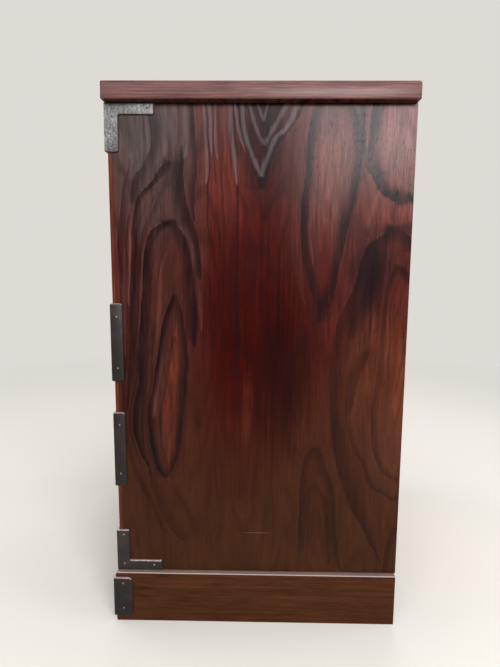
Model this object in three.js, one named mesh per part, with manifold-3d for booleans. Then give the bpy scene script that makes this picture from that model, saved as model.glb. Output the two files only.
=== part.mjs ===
// A rosewood-veneered chest with four drawers and cast iron corner fittings.
// Millimetres, Z up, the drawers face -Y, and the origin is under the middle of the chest on the floor.
import * as THREE from "three";
import { mergeVertices } from "three/addons/utils/BufferGeometryUtils.js";
import Module from "manifold-3d";

const wasm = await Module();
wasm.setup();

// Overall size and the top board
const chestHeight = 840;
const topBoardWidth = 600;
const topBoardDepth = 455;
const topBoardThickness = 25;
const topSideOverhang = 18;
const topFrontOverhang = 4;
const topEdgeRadius = 2.5;
const topCornerRadius = 3.5;

// Boards of the case
const sidePanelThickness = 21;
const sideFrontRadius = 2;
const dividerThickness = 18;
const bottomBoardThickness = 20;
const backPanelThickness = 5.5;
const backPanelLap = 10;
const topRailHeight = 18;
const topRailDepth = 60;
const housingDepth = 7;
const housingFrontStop = 12;

// Tiers of drawers, counted from the bottom
const bottomTierHeight = 177.5;
const upperTierCount = 3;

// Base frame under the case
const baseHeight = 84.5;
const baseBoardThickness = 18;
const baseSideProud = 9.5;
const baseFrontProud = 5;
const baseBackInset = 2;
const baseEdgeRadius = 2;

// Iron fittings that wrap round the front corners
const ironThickness = 3.5;
const ironEdgeRadius = 2;
const stileLeaf = 18;
const cornerIronUpright = 16.8;
const cornerIronArm = 16.4;
const cornerIronHeight = 69;
const cornerIronLength = 69.5;
const cornerIronInnerRadius = 3;
const cornerIronRim = 0.9;
const upperIronSetback = 0.6;
const lowerIronSetback = 1.4;
const strapLeaf = 15.8;
const strapLength = 121.4;
const strapCornerRadius = 4.5;
const strapRim = 1.8;
const basePlateLeaf = 27.5;
const basePlateHeight = 66.5;
const basePlateRise = 10.4;
const basePlateCornerRadius = 8;
const basePlateRim = 1.4;

// Drawer boxes
const frontThickness = 19;
const frontSetback = 1;
const frontSideGap = 1.2;
const frontLowerGap = 1;
const frontUpperGap = 1.5;
const frontBevel = 0.8;
const drawerSideThickness = 12;
const drawerSideDrop = 9;
const drawerBackThickness = 12;
const drawerStopGap = 1;
const tailLap = 12;
const tailCount = 4;
const tailRootShare = 0.6;
const tailSlopeShare = 0.16;
const floorThickness = 5;
const floorRise = 8;
const floorGroove = 6;

// Pulls: a cast backplate with two ears, and the bail that hangs in them
const pullSpread = 270;
const pullHeightShare = 0.55;
const plateWidth = 106;
const plateHeight = 25;
const plateThickness = 3;
const plateBevel = 1;
const plateCornerRadius = 5;
const earSpacing = 72;
const earThickness = 7;
const earRadius = 5.4;
const pivotStandoff = 10;
const pinRadius = 2.6;
const gripRadius = 4.2;
const bailWidth = 90;
const bailDrop = 36;
const bailShoulderRadius = 5;
const bailCornerRadius = 15;

// Clearances: the gap left round a fitted joint, and how far a cutting shape runs past what it cuts
const fitClearance = 0.3;
const pinClearance = 0.5;
const overrun = 5;

// How finely curves are faceted
const arcSteps = 8;
const cornerSteps = 3;
const roundedRimSteps = 3;
const castRimSteps = 2;
const chamferSteps = 1;
const holeSides = 14;
const bailSteps = 3;
const bailSides = 8;

// Faces that several pieces share
const bodyHalfWidth = topBoardWidth / 2 - topSideOverhang;
const innerHalfWidth = bodyHalfWidth - sidePanelThickness;
const bodyDepth = topBoardDepth - topFrontOverhang;
const backFace = bodyDepth - backPanelThickness;
const bodyTop = chestHeight - topBoardThickness;
const bottomBoardTop = baseHeight + bottomBoardThickness;
const railBottom = bodyTop - topRailHeight;
const upperTierHeight = (railBottom - bottomBoardTop - bottomTierHeight - upperTierCount * dividerThickness)
  / upperTierCount;
const baseHalfWidth = bodyHalfWidth + baseSideProud;
const baseBackFace = bodyDepth - baseBackInset;

// Height of the underside of each divider, and the floor and height of each tier
const dividerBottoms = [];
const tiers = [{ floor: bottomBoardTop, height: bottomTierHeight }];
for (let i = 0; i < upperTierCount; i += 1) {
  const below = tiers[i];
  const underside = below.floor + below.height;
  dividerBottoms.push(underside);
  tiers.push({ floor: underside + dividerThickness, height: upperTierHeight });
}

// Finishes
const finishes = {
  rosewood: new THREE.MeshStandardMaterial({ color: 0x4a1e1a, roughness: 0.3, metalness: 0 }),
  rosewoodEdge: new THREE.MeshStandardMaterial({ color: 0x5a2622, roughness: 0.35, metalness: 0 }),
  paleWood: new THREE.MeshStandardMaterial({ color: 0xc9a878, roughness: 0.6, metalness: 0 }),
  stainedPly: new THREE.MeshStandardMaterial({ color: 0x5b3a28, roughness: 0.6, metalness: 0 }),
  castIron: new THREE.MeshStandardMaterial({ color: 0x2b2b2c, roughness: 0.55, metalness: 0.6 }),
};

// A three.js geometry as a manifold solid
function toSolid(geometry) {
  const bare = geometry.clone();
  bare.deleteAttribute("normal");
  bare.deleteAttribute("uv");
  const merged = mergeVertices(bare);
  const vertProperties = merged.getAttribute("position").array;
  const triVerts = new Uint32Array(merged.getIndex().array);
  return new wasm.Manifold(new wasm.Mesh({ numProp: 3, vertProperties, triVerts }));
}

// A manifold solid as a three.js geometry
function toGeometry(solid) {
  const mesh = solid.getMesh();
  const geometry = new THREE.BufferGeometry();
  geometry.setAttribute("position", new THREE.BufferAttribute(mesh.vertProperties, 3));
  geometry.setIndex(new THREE.BufferAttribute(mesh.triVerts, 1));
  const faceted = geometry.toNonIndexed();
  faceted.computeVertexNormals();
  return faceted;
}

// The first geometry with all the others cut out of it
function cut(geometry, tools) {
  const solid = tools.reduce((rest, tool) => rest.subtract(toSolid(tool)), toSolid(geometry));
  return toGeometry(solid);
}

// What two geometries have in common
function common(first, second) {
  return toGeometry(toSolid(first).intersect(toSolid(second)));
}

// The given geometries joined into one
function join(geometries) {
  const solid = geometries.map(toSolid).reduce((whole, next) => whole.add(next));
  return toGeometry(solid);
}

// A box between two opposite corners, whose faces lie exactly on the given numbers
function block(low, high) {
  const geometry = new THREE.BoxGeometry(1, 1, 1);
  const position = geometry.getAttribute("position");
  for (let i = 0; i < position.count; i += 1) {
    const x = position.getX(i) < 0 ? low[0] : high[0];
    const y = position.getY(i) < 0 ? low[1] : high[1];
    const z = position.getZ(i) < 0 ? low[2] : high[2];
    position.setXYZ(i, x, y, z);
  }
  return geometry;
}

// An outline through [x, y, radius] corners, each rounded by its own radius in a few steps
function outline(corners) {
  const points = [];
  corners.forEach(([x, y, radius = 0], i) => {
    const here = new THREE.Vector2(x, y);
    if (radius === 0) {
      points.push(here);
      return;
    }
    const before = corners[(i + corners.length - 1) % corners.length];
    const after = corners[(i + 1) % corners.length];
    const back = new THREE.Vector2(before[0], before[1]).sub(here).normalize();
    const ahead = new THREE.Vector2(after[0], after[1]).sub(here).normalize();
    const halfAngle = Math.acos(back.dot(ahead)) / 2;
    const inward = back.clone().add(ahead).normalize();
    const centre = here.clone().addScaledVector(inward, radius / Math.sin(halfAngle));
    const start = here.clone().addScaledVector(back, radius / Math.tan(halfAngle));
    const sweep = (Math.PI - 2 * halfAngle) * Math.sign(ahead.cross(back));
    for (let step = 0; step <= cornerSteps; step += 1) {
      points.push(start.clone().rotateAround(centre, sweep * step / cornerSteps));
    }
  });
  return new THREE.Shape(points);
}

// An outline made solid along Z from low to high, with its rim bevelled or rounded at both ends
function prism(shape, low, high, rim = 0, rimSteps = chamferSteps) {
  const geometry = new THREE.ExtrudeGeometry(shape, {
    depth: high - low - 2 * rim,
    curveSegments: arcSteps,
    bevelEnabled: rim > 0,
    bevelThickness: rim,
    bevelSize: rim,
    bevelOffset: -rim,
    bevelSegments: rimSteps,
  });
  geometry.translate(0, 0, low + rim);
  const position = geometry.getAttribute("position");
  const nearShare = 1e-5;
  for (let i = 0; i < position.count; i += 1) {
    const height = (position.getZ(i) - low) / (high - low);
    if (Math.abs(height) < nearShare) position.setZ(i, low);
    if (Math.abs(height - 1) < nearShare) position.setZ(i, high);
  }
  return geometry;
}

// Turns a prism so that its outline lies in Y and Z and it runs along X
function alongX(geometry) {
  const x = new THREE.Vector3(1, 0, 0);
  const y = new THREE.Vector3(0, 1, 0);
  const z = new THREE.Vector3(0, 0, 1);
  return geometry.applyMatrix4(new THREE.Matrix4().makeBasis(y, z, x));
}

// Turns a prism so that its outline lies in X and Z and it runs toward the front, along -Y
function towardFront(geometry) {
  const x = new THREE.Vector3(1, 0, 0);
  const back = new THREE.Vector3(0, -1, 0);
  const z = new THREE.Vector3(0, 0, 1);
  return geometry.applyMatrix4(new THREE.Matrix4().makeBasis(x, z, back));
}

function piece(name, geometry, finish) {
  const mesh = new THREE.Mesh(geometry, finish);
  mesh.name = name;
  return mesh;
}

// Case

// The top board overhangs the front and both sides, and is flush with the back
function topBoard() {
  const half = topBoardWidth / 2;
  const plan = outline([
    [-half, -topFrontOverhang, topCornerRadius],
    [half, -topFrontOverhang, topCornerRadius],
    [half, bodyDepth, topCornerRadius],
    [-half, bodyDepth, topCornerRadius],
  ]);
  return prism(plan, bodyTop, chestHeight, topEdgeRadius, roundedRimSteps);
}

// A horizontal board whose ends are let into stopped housings in the side panels
function housedBoard(underside, thickness) {
  const frontHalf = innerHalfWidth - fitClearance;
  const tongueHalf = innerHalfWidth + housingDepth - fitClearance;
  const tongueFront = housingFrontStop + fitClearance;
  const plan = outline([
    [-frontHalf, 0],
    [frontHalf, 0],
    [frontHalf, tongueFront],
    [tongueHalf, tongueFront],
    [tongueHalf, backFace],
    [-tongueHalf, backFace],
    [-tongueHalf, tongueFront],
    [-frontHalf, tongueFront],
  ]);
  return prism(plan, underside, underside + thickness);
}

// The space that a side panel loses to one housed board
function housing(floor, ceiling) {
  return block(
    [innerHalfWidth - overrun, housingFrontStop, floor],
    [innerHalfWidth + housingDepth, backFace + overrun, ceiling + fitClearance],
  );
}

// The right side panel, with a rounded front edge, a rebate for the back panel and the housings
function sidePanel() {
  const rebateSide = innerHalfWidth + backPanelLap;
  const section = outline([
    [innerHalfWidth, 0],
    [bodyHalfWidth, 0, sideFrontRadius],
    [bodyHalfWidth, bodyDepth],
    [rebateSide, bodyDepth],
    [rebateSide, backFace],
    [innerHalfWidth, backFace],
  ]);
  const board = prism(section, baseHeight, bodyTop);
  const housings = dividerBottoms.map((underside) => housing(underside, underside + dividerThickness));
  return cut(board, [housing(baseHeight - overrun, bottomBoardTop), ...housings]);
}

function backPanel() {
  const half = innerHalfWidth + backPanelLap - fitClearance;
  return block([-half, backFace, baseHeight], [half, bodyDepth, bodyTop]);
}

function topRail(front) {
  return block([-innerHalfWidth, front, railBottom], [innerHalfWidth, front + topRailDepth, bodyTop]);
}

// Base: four boards on edge, mitred at the front corners, the upper outer edge rounded
const baseFrontFace = -baseFrontProud;
const baseInnerFront = baseFrontFace + baseBoardThickness;
const baseInnerHalf = baseHalfWidth - baseBoardThickness;

function baseFrontBoard() {
  const plan = outline([
    [-baseHalfWidth, baseFrontFace],
    [baseHalfWidth, baseFrontFace],
    [baseInnerHalf, baseInnerFront],
    [-baseInnerHalf, baseInnerFront],
  ]);
  const section = outline([
    [baseFrontFace, 0],
    [baseInnerFront, 0],
    [baseInnerFront, baseHeight],
    [baseFrontFace, baseHeight, baseEdgeRadius],
  ]);
  const bar = alongX(prism(section, -baseHalfWidth, baseHalfWidth));
  return common(prism(plan, 0, baseHeight), bar);
}

function baseSideBoard() {
  const plan = outline([
    [baseHalfWidth, baseFrontFace],
    [baseHalfWidth, baseBackFace],
    [baseInnerHalf, baseBackFace],
    [baseInnerHalf, baseInnerFront],
  ]);
  const section = outline([
    [baseInnerHalf, 0],
    [baseHalfWidth, 0],
    [baseHalfWidth, baseHeight, baseEdgeRadius],
    [baseInnerHalf, baseHeight],
  ]);
  const bar = towardFront(prism(section, -baseBackFace, -baseFrontFace));
  return common(prism(plan, 0, baseHeight), bar);
}

function baseBackBoard() {
  const innerBack = baseBackFace - baseBoardThickness;
  return block([-baseInnerHalf, innerBack, 0], [baseInnerHalf, baseBackFace, baseHeight]);
}

// Iron fittings

// A casting that wraps round an upright wooden corner: what a side outline in Y and Z
// and a front outline in X and Z have in common, less the wood that it lies on
function wrappedIron(sideCorners, frontCorners, cornerX, cornerY, rim, rimSteps) {
  const heights = sideCorners.map((corner) => corner[1]);
  const reach = Math.max(...sideCorners.map((corner) => corner[0])) + overrun;
  const inner = Math.min(...frontCorners.map((corner) => corner[0])) - overrun;
  const side = alongX(prism(outline(sideCorners), inner, cornerX + ironThickness, rim, rimSteps));
  const front = towardFront(prism(outline(frontCorners), -reach, ironThickness - cornerY, rim, rimSteps));
  const wood = block(
    [inner - overrun, cornerY, Math.min(...heights) - overrun],
    [cornerX, reach + overrun, Math.max(...heights) + overrun],
  );
  return cut(common(side, front), [wood]);
}

// An L on the side and an L on the front, with arms along the rail at the height called armEdge
function cornerIron(armEdge, towardMiddle) {
  const foot = armEdge + towardMiddle * cornerIronHeight;
  const armInside = armEdge + towardMiddle * cornerIronArm;
  const frontFace = -ironThickness;
  const sideFace = bodyHalfWidth + ironThickness;
  const side = [
    [frontFace, armEdge, ironEdgeRadius],
    [cornerIronLength, armEdge, ironEdgeRadius],
    [cornerIronLength, armInside, ironEdgeRadius],
    [cornerIronUpright, armInside, cornerIronInnerRadius],
    [cornerIronUpright, foot, ironEdgeRadius],
    [frontFace, foot, ironEdgeRadius],
  ];
  const front = [
    [sideFace, armEdge, ironEdgeRadius],
    [bodyHalfWidth - cornerIronLength, armEdge, ironEdgeRadius],
    [bodyHalfWidth - cornerIronLength, armInside, ironEdgeRadius],
    [bodyHalfWidth - stileLeaf, armInside, cornerIronInnerRadius],
    [bodyHalfWidth - stileLeaf, foot, ironEdgeRadius],
    [sideFace, foot, ironEdgeRadius],
  ];
  return wrappedIron(side, front, bodyHalfWidth, 0, cornerIronRim, chamferSteps);
}

// A plain upright plate, centred on a divider or low on the base
function plateIron(low, height, sideLeaf, frontLeaf, cornerX, cornerY, radius, rim) {
  const high = low + height;
  const frontFace = cornerY - ironThickness;
  const sideFace = cornerX + ironThickness;
  const side = [
    [frontFace, low, ironEdgeRadius],
    [cornerY + sideLeaf, low, radius],
    [cornerY + sideLeaf, high, radius],
    [frontFace, high, ironEdgeRadius],
  ];
  const front = [
    [sideFace, low, ironEdgeRadius],
    [cornerX - frontLeaf, low, radius],
    [cornerX - frontLeaf, high, radius],
    [sideFace, high, ironEdgeRadius],
  ];
  return wrappedIron(side, front, cornerX, cornerY, rim, castRimSteps);
}

function strap(divider) {
  const middle = dividerBottoms[divider] + dividerThickness / 2;
  const low = middle - strapLength / 2;
  return plateIron(low, strapLength, strapLeaf, stileLeaf, bodyHalfWidth, 0, strapCornerRadius, strapRim);
}

function basePlate() {
  return plateIron(basePlateRise, basePlateHeight, basePlateLeaf, basePlateLeaf,
    baseHalfWidth, baseFrontFace, basePlateCornerRadius, basePlateRim);
}

// Drawers, each in its own frame: Y from the front plane of the case, Z from the floor of its tier
const drawerHalfWidth = innerHalfWidth - frontSideGap;
const drawerSideInner = drawerHalfWidth - drawerSideThickness;
const frontBackFace = frontSetback + frontThickness;
const drawerRear = backFace - drawerStopGap;
const drawerBackFront = drawerRear - drawerBackThickness;
const drawerSideBottom = fitClearance;
const floorBottom = drawerSideBottom + floorRise;
const floorTop = floorBottom + floorThickness;
const drawerBackBottom = floorTop + fitClearance;

// Centre heights and half widths of the dovetails between two heights
function tailLayout(low, high) {
  const pitch = (high - low) / tailCount;
  const rootHalf = pitch * tailRootShare / 2;
  return Array.from({ length: tailCount }, (_, i) => ({ middle: low + i * pitch + pitch / 2, rootHalf }));
}

// The four corners of one tail, from one distance past its root to another, grown by a clearance
function tailCorners({ middle, rootHalf }, root, direction, from, to, growth = 0) {
  const halfFrom = rootHalf + from * tailSlopeShare + growth;
  const halfTo = rootHalf + to * tailSlopeShare + growth;
  return [
    [root + direction * from, middle + halfFrom],
    [root + direction * to, middle + halfTo],
    [root + direction * to, middle - halfTo],
    [root + direction * from, middle - halfFrom],
  ];
}

// The sockets that the tails of both sides need in the drawer front or back
function sockets(layout, root, direction, depth) {
  return layout.flatMap((tail) => {
    const corners = tailCorners(tail, root, direction, -overrun, depth, fitClearance);
    const right = alongX(prism(outline(corners), drawerSideInner - fitClearance, drawerHalfWidth + overrun));
    const left = alongX(prism(outline(corners), -drawerHalfWidth - overrun, fitClearance - drawerSideInner));
    return [right, left];
  });
}

// The groove that holds the edge of the drawer floor, cut between two corners in plan
function floorGrooveCut(low, high) {
  return block(
    [low[0], low[1], floorBottom - fitClearance],
    [high[0], high[1], floorTop + fitClearance],
  );
}

function drawerFront(tierHeight, frontTails) {
  const low = frontLowerGap;
  const high = tierHeight - frontUpperGap;
  const face = outline([
    [-drawerHalfWidth, low],
    [drawerHalfWidth, low],
    [drawerHalfWidth, high],
    [-drawerHalfWidth, high],
  ]);
  const board = towardFront(prism(face, -frontBackFace - overrun, -frontSetback, frontBevel));
  const behind = block(
    [-drawerHalfWidth - overrun, frontBackFace, low - overrun],
    [drawerHalfWidth + overrun, frontBackFace + 2 * overrun, high + overrun],
  );
  const grooveEnd = drawerSideInner + floorGroove;
  const groove = floorGrooveCut(
    [-grooveEnd, frontBackFace - floorGroove],
    [grooveEnd, frontBackFace + overrun],
  );
  return cut(board, [behind, groove, ...sockets(frontTails, frontBackFace, -1, tailLap + fitClearance)]);
}

// The right drawer side, with half-blind tails at the front, through tails at the back
// and a groove along its whole length
function drawerSide(sideTop, frontTails, backTails) {
  const shoulder = drawerBackBottom - fitClearance;
  const rearCorners = backTails.flatMap((tail) =>
    tailCorners(tail, drawerBackFront, 1, 0, drawerBackThickness).reverse());
  const frontCorners = frontTails.toReversed().flatMap((tail) =>
    tailCorners(tail, frontBackFace, -1, 0, tailLap));
  const profile = outline([
    [frontBackFace, drawerSideBottom],
    [drawerRear, drawerSideBottom],
    [drawerRear, shoulder],
    [drawerBackFront, shoulder],
    ...rearCorners,
    [drawerBackFront, sideTop],
    [frontBackFace, sideTop],
    ...frontCorners,
  ]);
  const board = alongX(prism(profile, drawerSideInner, drawerHalfWidth));
  const groove = floorGrooveCut(
    [drawerSideInner - overrun, -overrun],
    [drawerSideInner + floorGroove, drawerRear + overrun],
  );
  return cut(board, [groove]);
}

function drawerBack(sideTop, backTails) {
  const board = block(
    [-drawerHalfWidth, drawerBackFront, drawerBackBottom],
    [drawerHalfWidth, drawerRear, sideTop],
  );
  return cut(board, sockets(backTails, drawerBackFront, 1, drawerBackThickness + overrun));
}

function drawerFloor() {
  const half = drawerSideInner + floorGroove - fitClearance;
  const front = frontBackFace - floorGroove + fitClearance;
  return block([-half, front, floorBottom], [half, drawerRear, floorTop]);
}

// Pulls, each in its own frame: the drawer face is the plane Y = 0 and the bail turns about Z = 0
const plateBack = -fitClearance;
const plateFace = plateBack - plateThickness;
const earHalf = earThickness / 2;

// A cast plate with two pierced ears standing out of it
function backplate() {
  const half = plateWidth / 2;
  const rise = plateHeight / 2;
  const face = outline([
    [-half, -rise, plateCornerRadius],
    [half, -rise, plateCornerRadius],
    [half, rise, plateCornerRadius],
    [-half, rise, plateCornerRadius],
  ]);
  const blank = towardFront(prism(face, -plateBack - overrun, -plateFace, plateBevel));
  const behind = block(
    [-half - overrun, plateBack, -rise - overrun],
    [half + overrun, 2 * overrun, rise + overrun],
  );
  const earSection = new THREE.Shape();
  earSection.moveTo(plateBack, -earRadius);
  earSection.absarc(-pivotStandoff, 0, earRadius, -Math.PI / 2, Math.PI / 2, true);
  earSection.lineTo(plateBack, earRadius);
  const ears = [-earSpacing / 2, earSpacing / 2].map((middle) =>
    alongX(prism(earSection, middle - earHalf, middle + earHalf)));
  const holeRadius = pinRadius + pinClearance;
  const holeLength = earSpacing + 2 * earThickness;
  const hole = new THREE.CylinderGeometry(holeRadius, holeRadius, holeLength, holeSides);
  hole.rotateZ(Math.PI / 2);
  hole.translate(0, -pivotStandoff, 0);
  return cut(join([cut(blank, [behind]), ...ears]), [hole]);
}

// A bar swept along a path in X and Z, thin in the ears and swelling to its grip in the middle
function bail() {
  const half = bailWidth / 2;
  const pinTip = earSpacing / 2 - earHalf;
  const shoulder = half - bailShoulderRadius;
  const corner = half - bailCornerRadius;
  const cornerRise = bailCornerRadius - bailDrop;
  const quarter = Math.PI / 2;
  const path = new THREE.Path();
  path.moveTo(-pinTip, 0);
  path.lineTo(-shoulder, 0);
  path.absarc(-shoulder, -bailShoulderRadius, bailShoulderRadius, quarter, 2 * quarter);
  path.lineTo(-half, cornerRise);
  path.absarc(-corner, cornerRise, bailCornerRadius, 2 * quarter, 3 * quarter);
  path.lineTo(corner, -bailDrop);
  path.absarc(corner, cornerRise, bailCornerRadius, 3 * quarter, 4 * quarter);
  path.lineTo(half, -bailShoulderRadius);
  path.absarc(shoulder, -bailShoulderRadius, bailShoulderRadius, 0, quarter);
  path.lineTo(pinTip, 0);
  const stretches = path.curves.filter((curve) => curve.getLength() > fitClearance);
  const length = stretches.reduce((sum, curve) => sum + curve.getLength(), 0);
  const pinLength = shoulder - pinTip;
  const rings = [];
  let passed = 0;
  stretches.forEach((curve, i) => {
    for (let step = i === 0 ? 0 : 1; step <= bailSteps; step += 1) {
      const along = step / bailSteps;
      const distance = passed + along * curve.getLength();
      const swell = THREE.MathUtils.smoothstep(Math.min(distance, length - distance), pinLength, length / 2);
      const radius = THREE.MathUtils.lerp(pinRadius, gripRadius, swell);
      rings.push({ at: curve.getPoint(along), heading: curve.getTangent(along), radius });
    }
    passed += curve.getLength();
  });
  return loft(rings);
}

// A closed skin over rings that stand square to a path in X and Z
function loft(rings) {
  const points = [];
  const faces = [];
  rings.forEach(({ at, heading, radius }, ring) => {
    for (let side = 0; side < bailSides; side += 1) {
      const angle = 2 * Math.PI * side / bailSides;
      const outward = radius * Math.cos(angle);
      points.push(at.x - heading.y * outward, radius * Math.sin(angle), at.y + heading.x * outward);
      if (ring === 0) continue;
      const here = ring * bailSides + side;
      const next = ring * bailSides + (side + 1) % bailSides;
      faces.push(here - bailSides, here, next, here - bailSides, next, next - bailSides);
    }
  });
  const lastRing = (rings.length - 1) * bailSides;
  for (let side = 1; side < bailSides - 1; side += 1) {
    faces.push(0, side, side + 1);
    faces.push(lastRing, lastRing + side + 1, lastRing + side);
  }
  const geometry = new THREE.BufferGeometry();
  geometry.setAttribute("position", new THREE.Float32BufferAttribute(points, 3));
  geometry.setIndex(faces);
  geometry.computeVertexNormals();
  return geometry;
}

// Assembly

// The pieces that the chest has once on the right and once, mirrored, on the left
function addBothSides(chest, makers) {
  for (const [hand, facing] of [["right", 1], ["left", -1]]) {
    const side = new THREE.Group();
    side.scale.x = facing;
    for (const [name, geometry, finish] of makers) side.add(piece(`${name}_${hand}`, geometry, finish));
    chest.add(side);
  }
}

function addDrawer(chest, name, tier) {
  const drawer = new THREE.Group();
  drawer.position.z = tier.floor;
  const sideTop = tier.height - drawerSideDrop;
  const frontTails = tailLayout(drawerSideBottom, sideTop);
  const backTails = tailLayout(drawerBackBottom, sideTop);
  drawer.add(
    piece(`${name}_front`, drawerFront(tier.height, frontTails), finishes.rosewood),
    piece(`${name}_back`, drawerBack(sideTop, backTails), finishes.paleWood),
    piece(`${name}_floor`, drawerFloor(), finishes.paleWood),
  );
  const side = drawerSide(sideTop, frontTails, backTails);
  addBothSides(drawer, [[`${name}_side`, side, finishes.paleWood]]);
  for (const [hand, facing] of [["right", 1], ["left", -1]]) {
    const pull = new THREE.Group();
    pull.position.set(facing * pullSpread / 2, frontSetback, tier.height * pullHeightShare);
    const swinging = piece(`${name}_bail_${hand}`, bail(), finishes.castIron);
    swinging.position.y = -pivotStandoff;
    pull.add(piece(`${name}_backplate_${hand}`, backplate(), finishes.castIron), swinging);
    drawer.add(pull);
  }
  chest.add(drawer);
}

function buildChest() {
  const chest = new THREE.Group();
  const frontReach = frontSetback - pivotStandoff - earRadius;
  chest.position.y = -(frontReach + bodyDepth) / 2;
  chest.add(
    piece("top_board", topBoard(), finishes.rosewoodEdge),
    piece("bottom_board", housedBoard(baseHeight, bottomBoardThickness), finishes.rosewoodEdge),
    piece("back_panel", backPanel(), finishes.stainedPly),
    piece("top_rail_front", topRail(0), finishes.rosewoodEdge),
    piece("top_rail_back", topRail(backFace - topRailDepth), finishes.paleWood),
    piece("base_front", baseFrontBoard(), finishes.rosewoodEdge),
    piece("base_back", baseBackBoard(), finishes.rosewoodEdge),
  );
  dividerBottoms.forEach((underside, i) => {
    const board = housedBoard(underside, dividerThickness);
    chest.add(piece(`divider_${i + 1}`, board, finishes.rosewoodEdge));
  });
  addBothSides(chest, [
    ["side_panel", sidePanel(), finishes.rosewood],
    ["base_side", baseSideBoard(), finishes.rosewoodEdge],
    ["top_corner_iron", cornerIron(bodyTop - upperIronSetback, -1), finishes.castIron],
    ["bottom_corner_iron", cornerIron(baseHeight + lowerIronSetback, 1), finishes.castIron],
    ["upper_strap", strap(1), finishes.castIron],
    ["lower_strap", strap(0), finishes.castIron],
    ["base_corner_iron", basePlate(), finishes.castIron],
  ]);
  tiers.forEach((tier, i) => addDrawer(chest, `drawer_${i + 1}`, tier));
  return chest;
}

export default buildChest();
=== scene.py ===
# %% [markdown]
# A chest of drawers in lacquered rosewood, with iron fittings round its front corners.
# The boards, drawers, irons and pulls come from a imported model, in metres, and they stay where they are.
# What this lesson adds is the finish: the figure of the veneer, the lacquer over it, the worn black iron,
# the nails, and a plain studio round it. First the model is loaded and measured.

import math
from collections import namedtuple
from fnmatch import fnmatch

import bpy
from mathutils import Matrix, Vector


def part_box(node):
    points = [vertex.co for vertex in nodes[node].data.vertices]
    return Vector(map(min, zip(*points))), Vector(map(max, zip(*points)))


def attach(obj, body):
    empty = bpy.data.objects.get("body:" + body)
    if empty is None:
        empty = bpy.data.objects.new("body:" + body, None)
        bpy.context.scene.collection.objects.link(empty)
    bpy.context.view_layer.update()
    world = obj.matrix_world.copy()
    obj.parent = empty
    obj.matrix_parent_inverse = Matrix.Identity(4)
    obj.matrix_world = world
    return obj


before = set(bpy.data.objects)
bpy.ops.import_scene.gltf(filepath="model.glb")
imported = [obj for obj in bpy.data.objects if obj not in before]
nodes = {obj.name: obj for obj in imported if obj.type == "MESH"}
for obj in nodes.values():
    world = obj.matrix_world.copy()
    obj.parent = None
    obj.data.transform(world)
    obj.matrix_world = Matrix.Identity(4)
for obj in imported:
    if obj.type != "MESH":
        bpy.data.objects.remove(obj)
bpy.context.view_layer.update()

# %% [markdown]
# The camera comes first, because everything else is judged through it. The photograph was taken from
# the right, straight at the side, from a little above the middle and tilted down. Its place was worked out
# from the corners of the chest, so it is given as a place, three angles and a lens.

# %% The camera at the photograph's angle
MILLIMETRE = 0.001
CAMERA_PLACE = Vector((1.044, 0.0045, 0.5846))
CAMERA_TURN = math.radians(-0.88)
CAMERA_DIP = math.radians(7.908)
CAMERA_ROLL = math.radians(0.371)
LENS = 27.04
SENSOR = 36

ahead = Vector((
    -math.cos(CAMERA_TURN) * math.cos(CAMERA_DIP),
    math.sin(CAMERA_TURN) * math.cos(CAMERA_DIP),
    -math.sin(CAMERA_DIP),
))
level_right = Vector((math.sin(CAMERA_TURN), math.cos(CAMERA_TURN), 0))
level_up = level_right.cross(ahead)
right = level_right * math.cos(CAMERA_ROLL) + level_up * math.sin(CAMERA_ROLL)
up = right.cross(ahead)

camera_data = bpy.data.cameras.new("camera")
camera_data.lens = LENS
camera_data.sensor_width = SENSOR
camera = bpy.data.objects.new("camera", camera_data)
camera.matrix_world = Matrix.Translation(CAMERA_PLACE) @ Matrix((right, up, -ahead)).transposed().to_4x4()
bpy.context.scene.collection.objects.link(camera)
bpy.context.scene.camera = camera
print("camera at", tuple(CAMERA_PLACE), "looking along", tuple(round(part, 3) for part in ahead))

# %% [markdown]
# Every finish here is arithmetic on places: how far a point lies across a board, up it, or from the heart
# of a figure. Blender does that with nodes, which are slow to read. So one small class stands for a node's
# output and takes part in sums like a number, and each sum adds its Math node. Whatever isn't a sum is
# added by one method, which takes the node's type, its settings and its inputs.


# %% A value that changes over a surface
class Field:
    """One output of a node, used in sums like a number."""

    def __init__(self, sheet, socket):
        self.sheet = sheet
        self.socket = socket

    def also(self, output):
        """Another output of the same node."""
        return Field(self.sheet, self.socket.node.outputs[output])

    def maths(self, operation, *values):
        return self.sheet.node("ShaderNodeMath", {"operation": operation}, dict(enumerate(values)))

    def __add__(self, other):
        return self.maths("ADD", self, other)

    def __sub__(self, other):
        return self.maths("SUBTRACT", self, other)

    def __rsub__(self, other):
        return self.maths("SUBTRACT", other, self)

    def __mul__(self, other):
        return self.maths("MULTIPLY", self, other)

    def __truediv__(self, other):
        return self.maths("DIVIDE", self, other)

    def __pow__(self, power):
        return self.maths("POWER", self, power)

    def __abs__(self):
        return self.maths("ABSOLUTE", self)

    __radd__ = __add__
    __rmul__ = __mul__


class Sheet:
    """A tree of nodes that is being filled."""

    def __init__(self, tree):
        self.tree = tree
        tree.nodes.clear()

    def node(self, kind, settings=None, inputs=None, output=0):
        made = self.tree.nodes.new(kind)
        for name, value in (settings or {}).items():
            if name == "stops":
                set_stops(made.color_ramp, value)
            else:
                setattr(made, name, value)
        for name, value in (inputs or {}).items():
            if isinstance(value, Field):
                self.tree.links.new(value.socket, made.inputs[name])
            else:
                made.inputs[name].default_value = value
        return Field(self, made.outputs[output]) if len(made.outputs) else None


class Finish(Sheet):
    """The nodes of a material."""

    def __init__(self, name):
        self.material = bpy.data.materials.new(name)
        self.material.use_nodes = True
        super().__init__(self.material.node_tree)


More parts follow.
